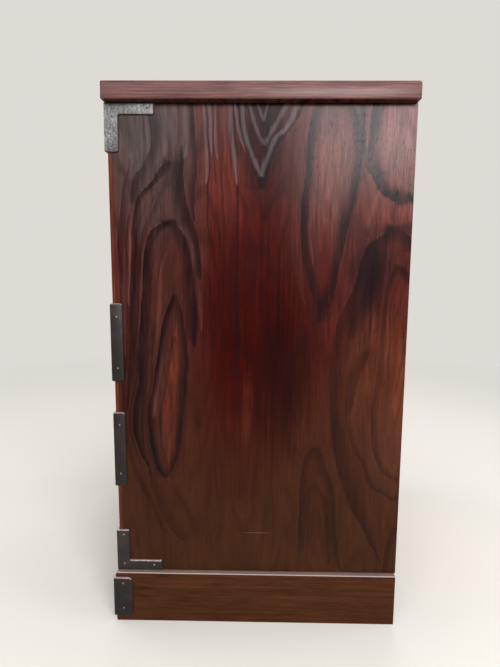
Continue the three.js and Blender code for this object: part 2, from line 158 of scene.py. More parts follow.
class Group(Sheet):
    """The nodes of a group with one output, which stands as a single node in a material."""

    def __init__(self, name, inputs):
        super().__init__(bpy.data.node_groups.new(name, "ShaderNodeTree"))
        for label in inputs:
            self.tree.interface.new_socket(label, in_out="INPUT", socket_type="NodeSocketFloat")
        self.tree.interface.new_socket("Result", in_out="OUTPUT", socket_type="NodeSocketFloat")
        start = self.node("NodeGroupInput")
        self.fields = [start.also(label) for label in inputs]

    def used(self, result, *fields):
        """Ends the group with its result and puts it to use on the given fields."""
        self.node("NodeGroupOutput", None, {0: result})
        return fields[0].sheet.node("ShaderNodeGroup", {"node_tree": self.tree}, dict(enumerate(fields)))


def set_stops(ramp, stops):
    """Gives a colour ramp its (place, colour) stops. A bare number is a shade of grey."""
    for place, value in stops[1:-1]:
        ramp.elements.new(place)
    for element, (place, value) in zip(ramp.elements, stops):
        element.position = place
        element.color = value if hasattr(value, "__len__") else (value, value, value, 1)


print("ready: fields for sums, and sheets of nodes for materials and for groups")


# %% Colours, and ways to mix and to soften them
def paint(red, green, blue):
    """A colour as it looks on a screen, in levels from 0 to 255."""
    def linear(level):
        share = level / 255
        return share / 12.92 if share <= 0.04045 else ((share + 0.055) / 1.055) ** 2.4

    return (linear(red), linear(green), linear(blue), 1)


def mixed(share, first, second):
    """The first colour where share is 0 and the second where it is 1."""
    return share.sheet.node(
        "ShaderNodeMix", {"data_type": "RGBA"}, {0: share, 6: first, 7: second}, output=2)


def between(field, low, high, to_low=0.0, to_high=1.0):
    """Goes smoothly from to_low to to_high as the field goes from low to high."""
    return field.sheet.node(
        "ShaderNodeMapRange",
        {"interpolation_type": "SMOOTHSTEP"},
        {0: field, 1: low, 2: high, 3: to_low, 4: to_high},
    )


def most(first, second):
    return first.maths("MAXIMUM", first, second)


def ramp(field, stops, smooth="EASE"):
    made = field.sheet.node("ShaderNodeValToRGB", {"stops": stops}, {0: field})
    made.socket.node.color_ramp.interpolation = smooth
    return made


def scaled(colour, factor):
    """A colour made lighter or darker by a field."""
    return factor.sheet.node("ShaderNodeVectorMath", {"operation": "SCALE"}, {0: colour, "Scale": factor})


print("a screen's middle grey of 128 is", round(paint(128, 128, 128)[0], 3), "to a shader")

# %% Where a point of the surface lies, and soft noise over it
Patch = namedtuple("Patch", "wide tall detail", defaults=(2.0,))


def place(finish):
    """Its place on the chest at rest, in metres: to the right, to the back, and up."""
    at = finish.node("ShaderNodeTexCoord", output="Object")
    split = finish.node("ShaderNodeSeparateXYZ", None, {0: at})
    return split, split.also(1), split.also(2)


def noise(first, second, patch, seed):
    """Noise about zero, in patches of so many millimetres along both fields. Each seed gives another."""
    at = first.sheet.node("ShaderNodeCombineXYZ", None, {
        0: first / (patch.wide * MILLIMETRE), 1: second / (patch.tall * MILLIMETRE), 2: seed})
    lumps = first.sheet.node(
        "ShaderNodeTexNoise", None, {"Vector": at, "Scale": 1.0, "Detail": patch.detail})
    return 2 * (lumps - 0.5)


def facing_up(finish):
    """How a face looks: 1 where it looks up, 0 where it stands upright, -1 where it looks down."""
    facing = finish.node("ShaderNodeNewGeometry", output="Normal")
    return finish.node("ShaderNodeSeparateXYZ", None, {0: facing}, output=2)


print("ready: place, noise and facing_up")

# %% [markdown]
# The figure of rosewood comes from growth rings cut at a slant: veins of dark late wood, drawn out along
# the grain into long nested loops. An image would be quick but would stop at the board's edge, so the
# figure is worked out instead, in two ways. Where no photograph shows the board, a nest of loops is a
# family of ovals about a heart, placed in metres, and one number, the radius in that oval, says between
# which rings a point lies.

# %% A nest of loops
Loops = namedtuple(
    "Loops", "across up half_width half_height rings lean point", defaults=(0.0, 1.8))
Ring = namedtuple("Ring", "radius depth inward outward", defaults=(0.08, 0.2))
RING_REACH = 3.0


def ring_stops(rings):
    """The stops of a ramp that draws the rings, each deepest at its radius and fading to both sides."""
    def depth(radius):
        depths = [0.0]
        for ring in rings:
            gap = radius - ring.radius
            width = ring.outward if gap > 0 else ring.inward
            depths.append(ring.depth * max(0.0, 1 - abs(gap) / width))
        return max(depths)

    places = {0.0, RING_REACH}
    for ring in rings:
        places |= {ring.radius - ring.inward, ring.radius, ring.radius + ring.outward}
    return [(radius / RING_REACH, depth(radius)) for radius in sorted(places)]


def loop_radius(across, up, loops):
    """How many times its first ring a point lies from the heart of the nest."""
    tall = (up - loops.up) / loops.half_height
    wide = (across - loops.across - loops.lean * (up - loops.up)) / loops.half_width
    return (abs(wide) ** loops.point + abs(tall) ** loops.point) ** (1 / loops.point)


def draw_loops(across, up, loops):
    return ramp(loop_radius(across, up, loops) / RING_REACH, ring_stops(loops.rings))


print("a nest of loops can have rings up to", RING_REACH, "times the size of its first")

# %% [markdown]
# On the side that the photograph shows, each vein is drawn as it lies. A curve through a few chosen points
# gives how far across it lies at each height, and a second curve how wide it is there: it tapers to both
# ends, and where it leans it takes more room across. A vein is sharp on its outer edge and fades inward,
# and faint echoes run beside it, as the next rings do. Each vein is a group, so that it reads as one node.

# %% One vein
Vein = namedtuple("Vein", "points width depth facing blunt", defaults=(1, ""))
VEIN_REACH = 5.0
VEIN_BREADTH = 1.3
VEIN_PROFILE = [
    (-5.0, 0.0), (-4.3, 0.04), (-4.0, 0.32), (-3.7, 0.06), (-3.0, 0.10), (-2.6, 0.50), (-2.2, 0.14),
    (-1.5, 0.26), (-1.1, 0.42), (-0.5, 0.8), (0.0, 0.95), (0.5, 1.0), (0.66, 0.12), (1.1, 0.02),
    (1.5, 0.30), (1.8, 0.04), (2.6, 0.16), (2.9, 0.0), (5.0, 0.0)]
PORE_LINE = [(-5.0, 0.0), (-1.3, 0.0), (-0.3, 1.0), (0.3, 1.0), (1.3, 0.0), (5.0, 0.0)]
VEIN_TIP = 0.22
THINNEST_SHARE = 0.002
END_NEAR, END_FAR = 0.3, 1.5


def curve_of(share, knots):
    """A smooth curve through the knots, whose places and heights run from 0 to 1, level beyond them."""
    made = share.sheet.node("ShaderNodeFloatCurve", None, {1: share})
    mapping = made.socket.node.mapping
    mapping.extend = "HORIZONTAL"
    points = mapping.curves[0].points
    points[0].location, points[1].location = knots[0], knots[-1]
    for knot in knots[1:-1]:
        points.new(*knot)
    mapping.update()
    return made


def vein_widths(points, blunt):
    """How much room across the vein takes at each point: more where it leans, less near a tapered tip."""
    low, high = points[0][0], points[-1][0]
    widths = []
    for step, (height, _) in enumerate(points):
        before, after = points[max(step - 1, 0)], points[min(step + 1, len(points) - 1)]
        slope = (after[1] - before[1]) / (after[0] - before[0])
        along = (height - low) / (high - low)
        foot = 1.0 if "foot" in blunt else along / VEIN_TIP + THINNEST_SHARE
        top = 1.0 if "top" in blunt else (1 - along) / VEIN_TIP + THINNEST_SHARE
        taper = min(1.0, foot, top)
        widths.append(taper * math.sqrt(1 + slope * slope))
    return widths


def draw_vein(across, up, vein, profile):
    """How deep one vein is at a point. Its points are (up, across), in millimetres."""
    points = sorted((height * MILLIMETRE, side * MILLIMETRE) for height, side in vein.points)
    low, high = points[0][0], points[-1][0]
    left, right = min(side for _, side in points), max(side for _, side in points)
    room = max(right - left, MILLIMETRE)
    widths = vein_widths(points, vein.blunt)
    broadest = max(widths)
    places = [(height - low) / (high - low) for height, _ in points]
    courses = [(side - left) / room for _, side in points]
    stops = [((reach / VEIN_REACH + 1) / 2, depth * vein.depth) for reach, depth in profile]

    group = Group("vein", ("across", "up"))
    here, height = group.fields
    share = (height - low) / (high - low)
    course = left + room * curve_of(share, list(zip(places, courses)))
    width = curve_of(share, [(place, broad / broadest) for place, broad in zip(places, widths)])
    gap = (here - course) / (vein.facing * VEIN_BREADTH * vein.width * MILLIMETRE * broadest * width)
    depth = ramp(gap / (2 * VEIN_REACH) + 0.5, stops, "LINEAR")
    end = vein.width * MILLIMETRE
    if "top" in vein.blunt:
        depth = depth * between(height, high + END_NEAR * end, high + END_FAR * end, 1.0, 0.0)
    if "foot" in vein.blunt:
        depth = depth * between(height, low - END_FAR * end, low - END_NEAR * end)
    return group.used(depth, across, up)


def deepest(fields):
    whole = fields[0]
    for field in fields[1:]:
        whole = most(whole, field)
    return whole


print("a vein's profile has", len(VEIN_PROFILE), "stops across it, a pore line's", len(PORE_LINE))

# %% [markdown]
# The right side of the chest is one wide leaf of veneer. Its veins, read from the photograph, make a tall
# nest near the front edge, straight lines beside it, nested V shapes, a dark-rimmed drop and a bowl at the
# top, and arches that the rear edge cuts. Near the top the open pores are pale and show as thin light
# lines, and in the nest a softer, lighter wood lies between the dark rings.

# %% Veins of the side, in millimetres: how high, and how far back from the front edge
DARK_VEINS = [
    Vein([(740, 33), (725, 30), (690, 22), (650, 18), (600, 15), (550, 17), (500, 15), (450, 15),
          (340, 12)], 4.7, 0.7, -1),
    Vein([(730, 88), (715, 78), (702, 68), (692, 56), (680, 47), (650, 39), (600, 35), (550, 33),
          (500, 29), (450, 27), (420, 25), (380, 21), (335, 14)], 5.6, 0.95, -1, "top"),
    Vein([(645, 90), (641, 80), (625, 63), (600, 55), (550, 51), (500, 47), (450, 41), (400, 41),
          (370, 35), (345, 31), (320, 31), (300, 37), (280, 44), (265, 50), (245, 54), (228, 57)],
         6.0, 1.0, -1, "top"),
    Vein([(645, 90), (640, 97), (625, 106), (605, 113), (560, 119), (530, 122), (500, 124), (455, 126)],
         8.0, 0.9, 1, "top"),
    Vein([(690, 112), (640, 124), (600, 131), (550, 136), (500, 138), (440, 139)], 4.1, 0.4),
    Vein([(660, 30), (600, 25), (550, 25), (500, 22), (440, 20), (390, 16)], 2.6, 0.6, -1),
    Vein([(660, 62), (640, 52), (600, 45), (550, 42), (500, 39), (450, 34), (410, 33), (370, 27),
          (330, 22), (300, 27), (270, 38), (245, 45)], 3.0, 0.75, -1),
    Vein([(610, 68), (560, 60), (510, 56), (460, 50), (410, 49), (370, 44), (335, 42), (310, 43),
          (280, 53), (262, 59)], 3.0, 0.75, -1),
    Vein([(500, 66), (450, 60), (400, 57), (360, 49), (330, 49), (305, 50), (275, 58), (248, 66),
          (236, 78)], 2.6, 0.6, -1),
    Vein([(236, 78), (252, 92), (280, 101), (320, 107), (380, 112), (440, 116)], 2.2, 0.45),
    Vein([(532, 96), (515, 87), (490, 80), (450, 72), (420, 66), (390, 62), (365, 56), (340, 54),
          (315, 56), (285, 61), (263, 67), (250, 78)], 4.6, 1.0, -1, "top foot"),
    Vein([(532, 96), (510, 103), (490, 106), (460, 110), (430, 111), (400, 109), (350, 104), (300, 99),
          (268, 91), (250, 78)], 5.0, 0.85, 1, "top foot"),
    Vein([(470, 94), (440, 86), (400, 80), (350, 72), (310, 73)], 2.2, 0.6, -1, "top"),
    Vein([(470, 94), (440, 99), (400, 98), (350, 92), (310, 85)], 2.2, 0.5, 1, "top"),
    Vein([(345, 15), (290, 20), (255, 30), (225, 42), (195, 56), (150, 74)], 4.7, 0.5, -1),
    Vein([(235, 88), (200, 106), (175, 118), (140, 124)], 4.0, 0.4),
    Vein([(815, 62), (790, 68), (760, 70), (738, 63), (718, 50), (700, 40), (670, 33)],
         8.0, 0.7, -1, "top"),
    Vein([(765, 118), (740, 108), (710, 104), (680, 108), (650, 116), (620, 124), (560, 134)],
         9.6, 0.85),
    Vein([(702, 92), (690, 80), (672, 72), (650, 60), (620, 50), (590, 45)], 4.1, 0.5, -1, "top"),
    Vein([(702, 92), (694, 100), (680, 106)], 4.1, 0.5, 1, "top"),
    Vein([(815, 124), (770, 126), (720, 128), (690, 124), (650, 127)], 4.1, 0.8, 1, "top"),
    Vein([(815, 146), (770, 149), (730, 150), (690, 147), (620, 150)], 1.6, 0.8, 1, "top"),
    Vein([(815, 155), (770, 157), (730, 158), (700, 160)], 1.4, 0.7, 1, "top"),
    Vein([(815, 164), (770, 165), (720, 168), (680, 170), (600, 172), (500, 168), (400, 165)],
         1.8, 0.6, 1, "top"),
    Vein([(815, 186), (780, 188), (735, 190), (700, 191), (650, 192), (600, 192), (540, 190),
          (450, 192), (340, 193)], 1.6, 1.0, 1, "top"),
    Vein([(600, 150), (540, 149), (470, 152), (400, 150)], 1.6, 0.5),
    Vein([(640, 208), (560, 207), (480, 210), (420, 209)], 1.6, 0.5),
    Vein([(560, 226), (500, 229), (440, 228), (390, 224), (330, 226)], 2.4, 0.6),
    Vein([(815, 193), (780, 199), (750, 208), (725, 217), (700, 226)], 4.1, 0.9, -1, "top foot"),
    Vein([(815, 282), (790, 270), (770, 256), (752, 244), (735, 236), (715, 229), (700, 226)],
         6.4, 0.9, 1, "top foot"),
    Vein([(815, 202), (795, 211), (775, 220), (752, 229)], 2.4, 0.9, -1, "top foot"),
    Vein([(815, 256), (795, 245), (775, 236), (752, 229)], 2.8, 0.9, 1, "top foot"),
    Vein([(815, 215), (800, 221), (785, 229)], 1.8, 0.9, -1, "top foot"),
    Vein([(815, 240), (800, 234), (785, 229)], 1.8, 0.9, 1, "top foot"),
    Vein([(815, 309), (790, 302), (750, 298), (720, 297), (680, 292), (640, 291), (600, 294),
          (575, 300), (545, 309), (505, 323)], 7.6, 0.97, -1, "top foot"),
    Vein([(815, 350), (780, 364), (750, 369), (710, 366), (670, 358), (640, 351), (610, 346),
          (580, 339), (545, 333), (505, 323)], 7.6, 0.97, 1, "top foot"),
    Vein([(740, 320), (700, 310), (660, 309), (610, 312), (575, 319), (562, 326)],
         2.0, 0.45, -1, "foot"),
    Vein([(740, 349), (700, 350), (660, 344), (610, 336), (575, 330), (562, 326)],
         2.0, 0.45, 1, "foot"),
    Vein([(620, 276), (580, 281), (540, 292), (510, 304), (470, 312)], 4.1, 0.5, -1),
    Vein([(815, 371), (780, 372), (750, 376), (735, 381), (715, 388)], 4.7, 0.9, 1, "top"),
    Vein([(815, 392), (770, 388), (745, 387), (720, 394), (703, 402), (692, 415), (684, 432),
          (679, 452)], 8.8, 1.0, -1, "top foot"),
    Vein([(735, 381), (715, 374), (690, 368), (650, 360), (600, 354), (560, 352)], 4.1, 0.55, 1, "top"),
    Vein([(636, 427), (622, 408), (610, 395), (590, 385), (560, 378), (530, 368), (500, 358),
          (460, 346), (400, 345), (350, 345), (300, 352), (270, 358), (240, 367), (215, 376),
          (185, 388), (165, 398), (145, 407), (125, 416), (96, 428)], 11.2, 1.0, -1, "top"),
    Vein([(636, 427), (625, 440), (612, 454)], 9.6, 0.95, 1, "top foot"),
    Vein([(605, 402), (580, 400), (555, 394), (525, 384), (500, 373), (470, 364)],
         11.2, 1.0, -1, "top"),
    Vein([(578, 437), (570, 428), (555, 421), (520, 415), (460, 412), (400, 410), (345, 404),
          (310, 408), (290, 411), (275, 416), (258, 427), (248, 452)], 4.3, 0.9, -1, "top foot"),
    Vein([(578, 437), (572, 444), (562, 454)], 6.4, 0.9, 1, "top foot"),
    Vein([(460, 396), (430, 381), (405, 372), (385, 368), (350, 364)], 9.6, 0.95),
    Vein([(395, 369), (350, 363), (325, 370), (305, 375), (290, 380), (275, 391), (255, 398),
          (235, 405), (225, 420), (214, 446)], 4.1, 0.9, -1, "foot"),
    Vein([(520, 437), (470, 430), (420, 432), (380, 428), (340, 424), (310, 432)], 2.2, 0.6, -1),
    Vein([(294, 315), (288, 308), (275, 302), (255, 298), (220, 297), (170, 295), (110, 293)],
         5.5, 1.0, -1, "top"),
    Vein([(294, 315), (288, 320), (275, 325), (260, 329), (245, 336), (225, 342), (200, 345),
          (150, 348), (105, 357), (86, 364)], 7.0, 1.0, 1, "top"),
    Vein([(234, 317), (220, 306), (200, 302), (170, 300), (120, 300)], 4.5, 0.8, -1, "top"),
    Vein([(234, 317), (222, 326), (205, 333), (180, 338), (150, 340), (100, 343)], 4.5, 0.9, 1, "top"),
    Vein([(262, 316), (252, 308), (230, 303), (190, 300), (150, 298)], 2.0, 0.6, -1, "top"),
    Vein([(262, 316), (252, 324), (230, 333), (195, 340), (150, 346)], 2.0, 0.6, 1, "top"),
    Vein([(190, 318), (178, 310), (150, 307), (110, 306)], 2.4, 0.6, -1, "top"),
    Vein([(190, 318), (178, 326), (150, 330), (110, 332)], 2.4, 0.6, 1, "top"),
    Vein([(165, 453), (150, 441), (120, 436), (88, 433)], 4.5, 0.8, -1, "top foot"),
    Vein([(262, 50), (240, 55), (215, 63), (190, 73), (165, 86), (135, 104)], 8.0, 0.45, -1),
    Vein([(600, 392), (540, 370), (480, 350), (400, 344), (300, 353), (230, 372), (160, 402)],
         12.0, 1.0, -1),
    Vein([(470, 440), (400, 425), (330, 432), (270, 440)], 12.8, 0.5),
    Vein([(300, 250), (240, 247), (180, 252), (110, 250)], 2.5, 0.4),
    Vein([(330, 160), (260, 157), (190, 163), (110, 160)], 2.5, 0.35),
]
PALE_VEINS = [
    Vein([(815, 83), (780, 85), (735, 84)], 4.9, 0.4, 1, "top"),
    Vein([(815, 98), (780, 97), (735, 99)], 3.4, 0.4, 1, "top"),
    Vein([(815, 113), (770, 114), (735, 112)], 4.6, 0.5, 1, "top"),
    Vein([(815, 142), (770, 145), (730, 146), (700, 143)], 2.3, 0.8, 1, "top"),
    Vein([(815, 150), (780, 152), (740, 154)], 2.3, 0.8, 1, "top"),
    Vein([(815, 159), (770, 160), (735, 163)], 1.9, 0.6, 1, "top"),
    Vein([(815, 181), (780, 183), (740, 187), (700, 190)], 2.5, 0.9, 1, "top"),
    Vein([(815, 188), (780, 193), (745, 203)], 1.9, 0.7, 1, "top"),
    Vein([(815, 197), (775, 202), (740, 213), (716, 226)], 2.5, 0.9, 1, "top foot"),
    Vein([(815, 277), (800, 272), (780, 262), (765, 246), (750, 238), (735, 232), (716, 226)],
         3.0, 0.9, 1, "top foot"),
    Vein([(815, 206), (795, 213), (772, 222), (762, 229)], 2.3, 0.8, 1, "top foot"),
    Vein([(815, 263), (795, 252), (775, 240), (762, 229)], 2.7, 0.8, 1, "top foot"),
    Vein([(815, 220), (803, 225), (794, 229)], 1.9, 0.8, 1, "top foot"),
    Vein([(815, 236), (803, 232), (794, 229)], 1.9, 0.8, 1, "top foot"),
    Vein([(650, 104), (630, 115), (605, 122), (575, 126)], 3.8, 0.12),
    Vein([(760, 378), (735, 384), (715, 394), (700, 404)], 3.8, 0.16),
]
LIGHT_VEINS = [
    Vein([(716, 88), (700, 74), (690, 60), (670, 46), (640, 36), (600, 30), (560, 29), (520, 26)],
         4.0, 0.8),
    Vein([(655, 92), (645, 80), (630, 66), (600, 51), (560, 47), (500, 43), (450, 38)], 3.5, 0.7),
    Vein([(650, 100), (630, 113), (605, 124), (570, 131), (540, 134), (480, 136)], 3.0, 0.4),
    Vein([(760, 306), (720, 303), (680, 300), (640, 299), (600, 303), (575, 308)], 2.6, 0.8),
    Vein([(720, 287), (700, 284), (650, 280), (600, 281), (550, 288), (520, 297)], 5.0, 0.2),
    Vein([(470, 79), (430, 71), (400, 67), (370, 63), (340, 60)], 3.0, 0.7),
    Vein([(600, 88), (570, 76), (520, 72), (470, 66), (430, 60)], 3.0, 0.35),
    Vein([(610, 22), (560, 20), (500, 17), (440, 17)], 2.4, 0.6),
    Vein([(700, 408), (690, 400), (670, 392), (640, 385)], 4.0, 0.4),
]

print("veins read from the photograph:", len(DARK_VEINS), "dark,", len(PALE_VEINS), "of pale pores,",
      len(LIGHT_VEINS), "light")

# %% [markdown]
# A real leaf never runs as smoothly as a drawn curve. So each point is looked up a little beside its own
# place, which bends all the veins together, and fibre by fibre a little higher or lower, which feathers
# the veins that lean. Between the drawn veins run fainter rings, the level lines of a slow noise.

# %% How a leaf wanders
SLOW_BEND = Patch(50, 120)
QUICK_BEND = Patch(12, 35)
FIBRE_BEND = Patch(2.2, 22)
LIFT = Patch(30, 100)
FEATHER = Patch(3.4, 90)
QUICK_SHARE = 0.5
FIBRE_SHARE = 0.35
FEATHER_SHARE = 0.55
LIFT_TO_SWAY = 3
CONTOUR_SLOPE = Patch(110, 550)
CONTOUR_WAVER = Patch(20, 120)
CONTOUR_RINGS = 7.0
WAVER_RINGS = 0.5
CONTOUR_FROM = -0.3


def bend_board(across, up, seed, sway):
    """The same place before the tree bent, so that smooth veins come out wavering by about sway metres."""
    aside = (noise(across, up, SLOW_BEND, seed) + QUICK_SHARE * noise(across, up, QUICK_BEND, seed + 1)
             + FIBRE_SHARE * noise(across, up, FIBRE_BEND, seed + 2))
    lift = noise(across, up, LIFT, seed + 3) + FEATHER_SHARE * noise(across, up, FEATHER, seed + 4)
    return across + sway * aside, up + LIFT_TO_SWAY * sway * lift


def sine(turns, low):
    """A wave from 0 to 1 that runs once in each whole turn. A higher low makes its crests narrower."""
    angle = turns * (2 * math.pi)
    return between(angle.maths("SINE", angle), low, 1.0)


def contours(across, up, seed):
    slope = noise(across, up, CONTOUR_SLOPE, seed)
    waver = WAVER_RINGS * noise(across, up, CONTOUR_WAVER, seed + 1)
    return sine(CONTOUR_RINGS * slope + waver, CONTOUR_FROM)


print("bends come in patches from", FIBRE_BEND.wide, "to", SLOW_BEND.wide, "mm across the grain")

# %% [markdown]
# Under the rings the wood changes tone: brown at the foot, a deep red heart in the middle and a duller,
# greyer red above, with lighter and darker pools round the loops, which are placed in metres back from
# the front edge and up from the floor. The greyer red at the top and the pale pools high on the side are
# partly a painted sheen, which adds to the sheen that the lacquer mirrors from the soft boxes. The pores
# of rosewood are short dark dashes along the grain, and streaks of tone run along it, from fine hairs to
# broad bands.

# %% Tones of the side veneer
Pool = namedtuple("Pool", "across up half_width half_height tone strength")
POOL_HEART = 0.3
POOL_EDGE = 1.9
LATE_WOOD = paint(18, 8, 9)
LIGHT_WOOD = paint(128, 80, 72)
PORE_PALE = paint(118, 106, 108)
# Tones from foot to head. The greyer red near the head is partly a painted sheen.
SIDE_TONES_AND_SHEEN = [
    (0.00, paint(55, 31, 17)), (0.25, paint(53, 28, 15)), (0.45, paint(57, 25, 14)),
    (0.60, paint(62, 20, 15)), (0.75, paint(67, 27, 24)), (0.88, paint(70, 35, 32)),
    (1.00, paint(74, 41, 39)),
]
# Pools of tone. The pale greyish pools high on the side, near the front and toward the rear, are a painted
# sheen.
SIDE_POOLS_AND_SHEEN = [
    Pool(0.205, 0.500, 0.080, 0.20, paint(43, 1, 0), 0.95),
    Pool(0.185, 0.640, 0.045, 0.09, paint(58, 13, 9), 0.6),
    Pool(0.070, 0.480, 0.050, 0.18, paint(59, 30, 25), 0.8),
    Pool(0.060, 0.690, 0.050, 0.06, paint(62, 49, 47), 0.7),
    Pool(0.094, 0.420, 0.006, 0.04, paint(108, 50, 30), 0.5),
    Pool(0.082, 0.335, 0.006, 0.05, paint(104, 46, 30), 0.5),
    Pool(0.395, 0.420, 0.035, 0.11, paint(76, 40, 26), 0.6),
    Pool(0.440, 0.380, 0.020, 0.10, paint(94, 48, 30), 0.6),
    Pool(0.430, 0.290, 0.030, 0.07, paint(68, 38, 28), 0.5),
    Pool(0.330, 0.720, 0.024, 0.08, paint(96, 56, 50), 0.8),
    Pool(0.325, 0.600, 0.010, 0.05, paint(76, 22, 11), 0.7),
    Pool(0.425, 0.760, 0.030, 0.06, paint(110, 74, 72), 0.75),
    Pool(0.405, 0.660, 0.030, 0.05, paint(84, 40, 33), 0.5),
    Pool(0.206, 0.350, 0.007, 0.05, paint(92, 40, 24), 0.24),
    Pool(0.262, 0.430, 0.036, 0.10, paint(22, 2, 2), 0.78),
    Pool(0.230, 0.560, 0.014, 0.06, paint(36, 6, 5), 0.5),
    Pool(0.140, 0.650, 0.010, 0.06, paint(76, 40, 34), 0.5),
    Pool(0.050, 0.770, 0.050, 0.05, paint(62, 56, 54), 0.85),
    Pool(0.110, 0.760, 0.022, 0.06, paint(50, 38, 35), 0.7),
    Pool(0.230, 0.780, 0.036, 0.08, paint(32, 12, 11), 0.85),
    Pool(0.390, 0.568, 0.024, 0.052, paint(28, 13, 16), 0.85),
    Pool(0.322, 0.512, 0.011, 0.022, paint(28, 13, 14), 0.85),
    Pool(0.175, 0.700, 0.022, 0.05, paint(100, 42, 32), 0.5),
]
BOARD_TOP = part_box("side_panel_right")[1].z
TONE_DRIFT = Patch(50, 250)
DRIFT_REACH = 50 * MILLIMETRE
RAGGED_WIDE = Patch(12, 120, 4.0)
RAGGED_ASIDE = 16 * MILLIMETRE
RAGGED_LONG = Patch(5, 300, 3.0)
RAGGED_UP = 90 * MILLIMETRE
STREAKS = [
    (0.30, Patch(16, 450)), (0.34, Patch(4, 130)), (0.55, Patch(1.9, 40)), (0.45, Patch(35, 70, 4.0))]
PORES = Patch(0.9, 12, 1.0)
PORE_EDGE = 0.28
PORE_HEART = 0.5
PORE_DARK = 0.3


def pool_share(across, up, pool):
    """Its strength at the heart of the pool, falling softly to none at about twice its size."""
    wide = (across - pool.across) / pool.half_width
    tall = (up - pool.up) / pool.half_height
    return between((wide * wide + tall * tall) ** 0.5, POOL_HEART, POOL_EDGE, pool.strength, 0.0)


def board_tones(across, up, tones, pools, seed):
    drift = DRIFT_REACH * noise(across, up, TONE_DRIFT, seed)
    ragged_across = across + RAGGED_ASIDE * noise(across, up, RAGGED_WIDE, seed + 1)
    ragged_up = up + RAGGED_UP * noise(across, up, RAGGED_LONG, seed + 2)
    tone = ramp((up + drift) / BOARD_TOP, tones, "LINEAR")
    for pool in pools:
        tone = mixed(pool_share(ragged_across, ragged_up, pool), tone, pool.tone)
    return tone


def streaks(across, up, seed):
    """A number about 1 that lightens and darkens streaks of the grain."""
    whole = 1
    for step, (share, patch) in enumerate(STREAKS):
        whole = whole + share * noise(across, up, patch, seed + step)
    return whole


def pores(across, up, seed):
    """1 in the short open pores of the wood."""
    return between(noise(across, up, PORES, seed), PORE_EDGE, PORE_HEART)


print("tones of the side:", len(SIDE_TONES_AND_SHEEN), "from foot to head, and", len(SIDE_POOLS_AND_SHEEN), "pools")

# %% [markdown]
# Over the wood lies a clear semi-gloss lacquer. It is thin, so the pores still show as tiny troughs, and
# old enough that its gloss is uneven. One function takes a colour and the pores and gives the surface.

# %% Lacquer over wood
LACQUER_ROUGHNESS = 0.235
LACQUER_SHINE = 0.062
GLOSS_CLOUD = Patch(90, 140)
CLOUD_SHARE = 0.05
PORE_SHARE = 0.05
RIPPLE = Patch(12, 50)
RIPPLE_SHARE = 0.5
LACQUER_RELIEF = 0.12 * MILLIMETRE


def surface(finish, colour, roughness, height, depth, shine, metal=0.0):
    """The last nodes of a finish: its shader, its bump and its output."""
    bump = finish.node("ShaderNodeBump", None, {"Height": height, "Distance": depth})
    shader = finish.node("ShaderNodeBsdfPrincipled", None, {
        "Base Color": colour, "Roughness": roughness, "Normal": bump,
        "Specular IOR Level": shine, "Metallic": metal})
    finish.node("ShaderNodeOutputMaterial", None, {0: shader})
    return finish.material


def lacquered(finish, colour, across, up, pore):
    roughness = LACQUER_ROUGHNESS + CLOUD_SHARE * noise(across, up, GLOSS_CLOUD, 31) + PORE_SHARE * pore
    relief = RIPPLE_SHARE * noise(across, up, RIPPLE, 32) - pore
    return surface(finish, colour, roughness, relief, LACQUER_RELIEF, LACQUER_SHINE)


print("lacquer: roughness", LACQUER_ROUGHNESS, "and a relief of", LACQUER_RELIEF / MILLIMETRE, "mm")

# %% [markdown]
# On the side, the drawn veins darken the wood, the light ones lighten it and the pale pores lie on top. A
# field of clearness makes the faint figure weaker near the foot, and a soft mask does the same for the
# veins low at the rear. The front edge is a thin lipping of plain wood, and one fine scratch is kept. The
# left side uses the same leaf turned upside down, so that the two sides don't match like prints.

# %% Finish of the side panels
FRONT_PLANE, SIDE_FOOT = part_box("side_panel_right")[0].yz
LIPPING = 6 * MILLIMETRE
LIPPING_TONE = paint(78, 36, 25)
JOINT = 0.5 * MILLIMETRE
JOINT_SHARE = 0.6
SIDE_SWAY = 3.0 * MILLIMETRE
LIGHT_SHARE = 0.36
PALE_SHARE = 0.26
CONTOUR_SHARE = 0.38
FAINT_FOOT, FAINT_HEAD = 250 * MILLIMETRE, 500 * MILLIMETRE
FAINT_CONTOURS = 0.45
FAINT_STREAKS = 0.5
SOFT_FRONT, SOFT_REAR = 150 * MILLIMETRE, 240 * MILLIMETRE
SOFT_FOOT, SOFT_HEAD = 420 * MILLIMETRE, 660 * MILLIMETRE
SOFT_SHARE = 0.38
RING_MEAN = 0.95
RING_SWING = 0.45
RING_PATCHES = Patch(10, 70, 3.0)
SCRATCH_HEIGHT = 152 * MILLIMETRE
SCRATCH_MIDDLE = 223 * MILLIMETRE
SCRATCH_HALF = 27 * MILLIMETRE
SCRATCH_SHARE = 0.4


def side_rings(across, up, bent_across, bent_up):
    """How dark the rings are: the drawn veins, patchy and softer low at the rear, and the contours."""
    veins = deepest([draw_vein(bent_across, bent_up, vein, VEIN_PROFILE) for vein in DARK_VEINS])
    soft = between(across, SOFT_FRONT, SOFT_REAR) * between(up, SOFT_FOOT, SOFT_HEAD, 1.0, 0.0)
    patchy = RING_MEAN + RING_SWING * noise(bent_across, bent_up, RING_PATCHES, 9)
    clear = between(up, FAINT_FOOT, FAINT_HEAD, FAINT_CONTOURS, 1.0)
    faint = CONTOUR_SHARE * contours(bent_across, bent_up, 33) * clear
    return most(veins * patchy * (1 - SOFT_SHARE * soft), faint)


def scratch(across, up):
    """One fine line along the depth, fading to both ends."""
    line = between(abs(up - SCRATCH_HEIGHT), 0.0, JOINT, SCRATCH_SHARE, 0.0)
    return line * between(abs(across - SCRATCH_MIDDLE), SCRATCH_HALF / 2, SCRATCH_HALF, 1.0, 0.0)


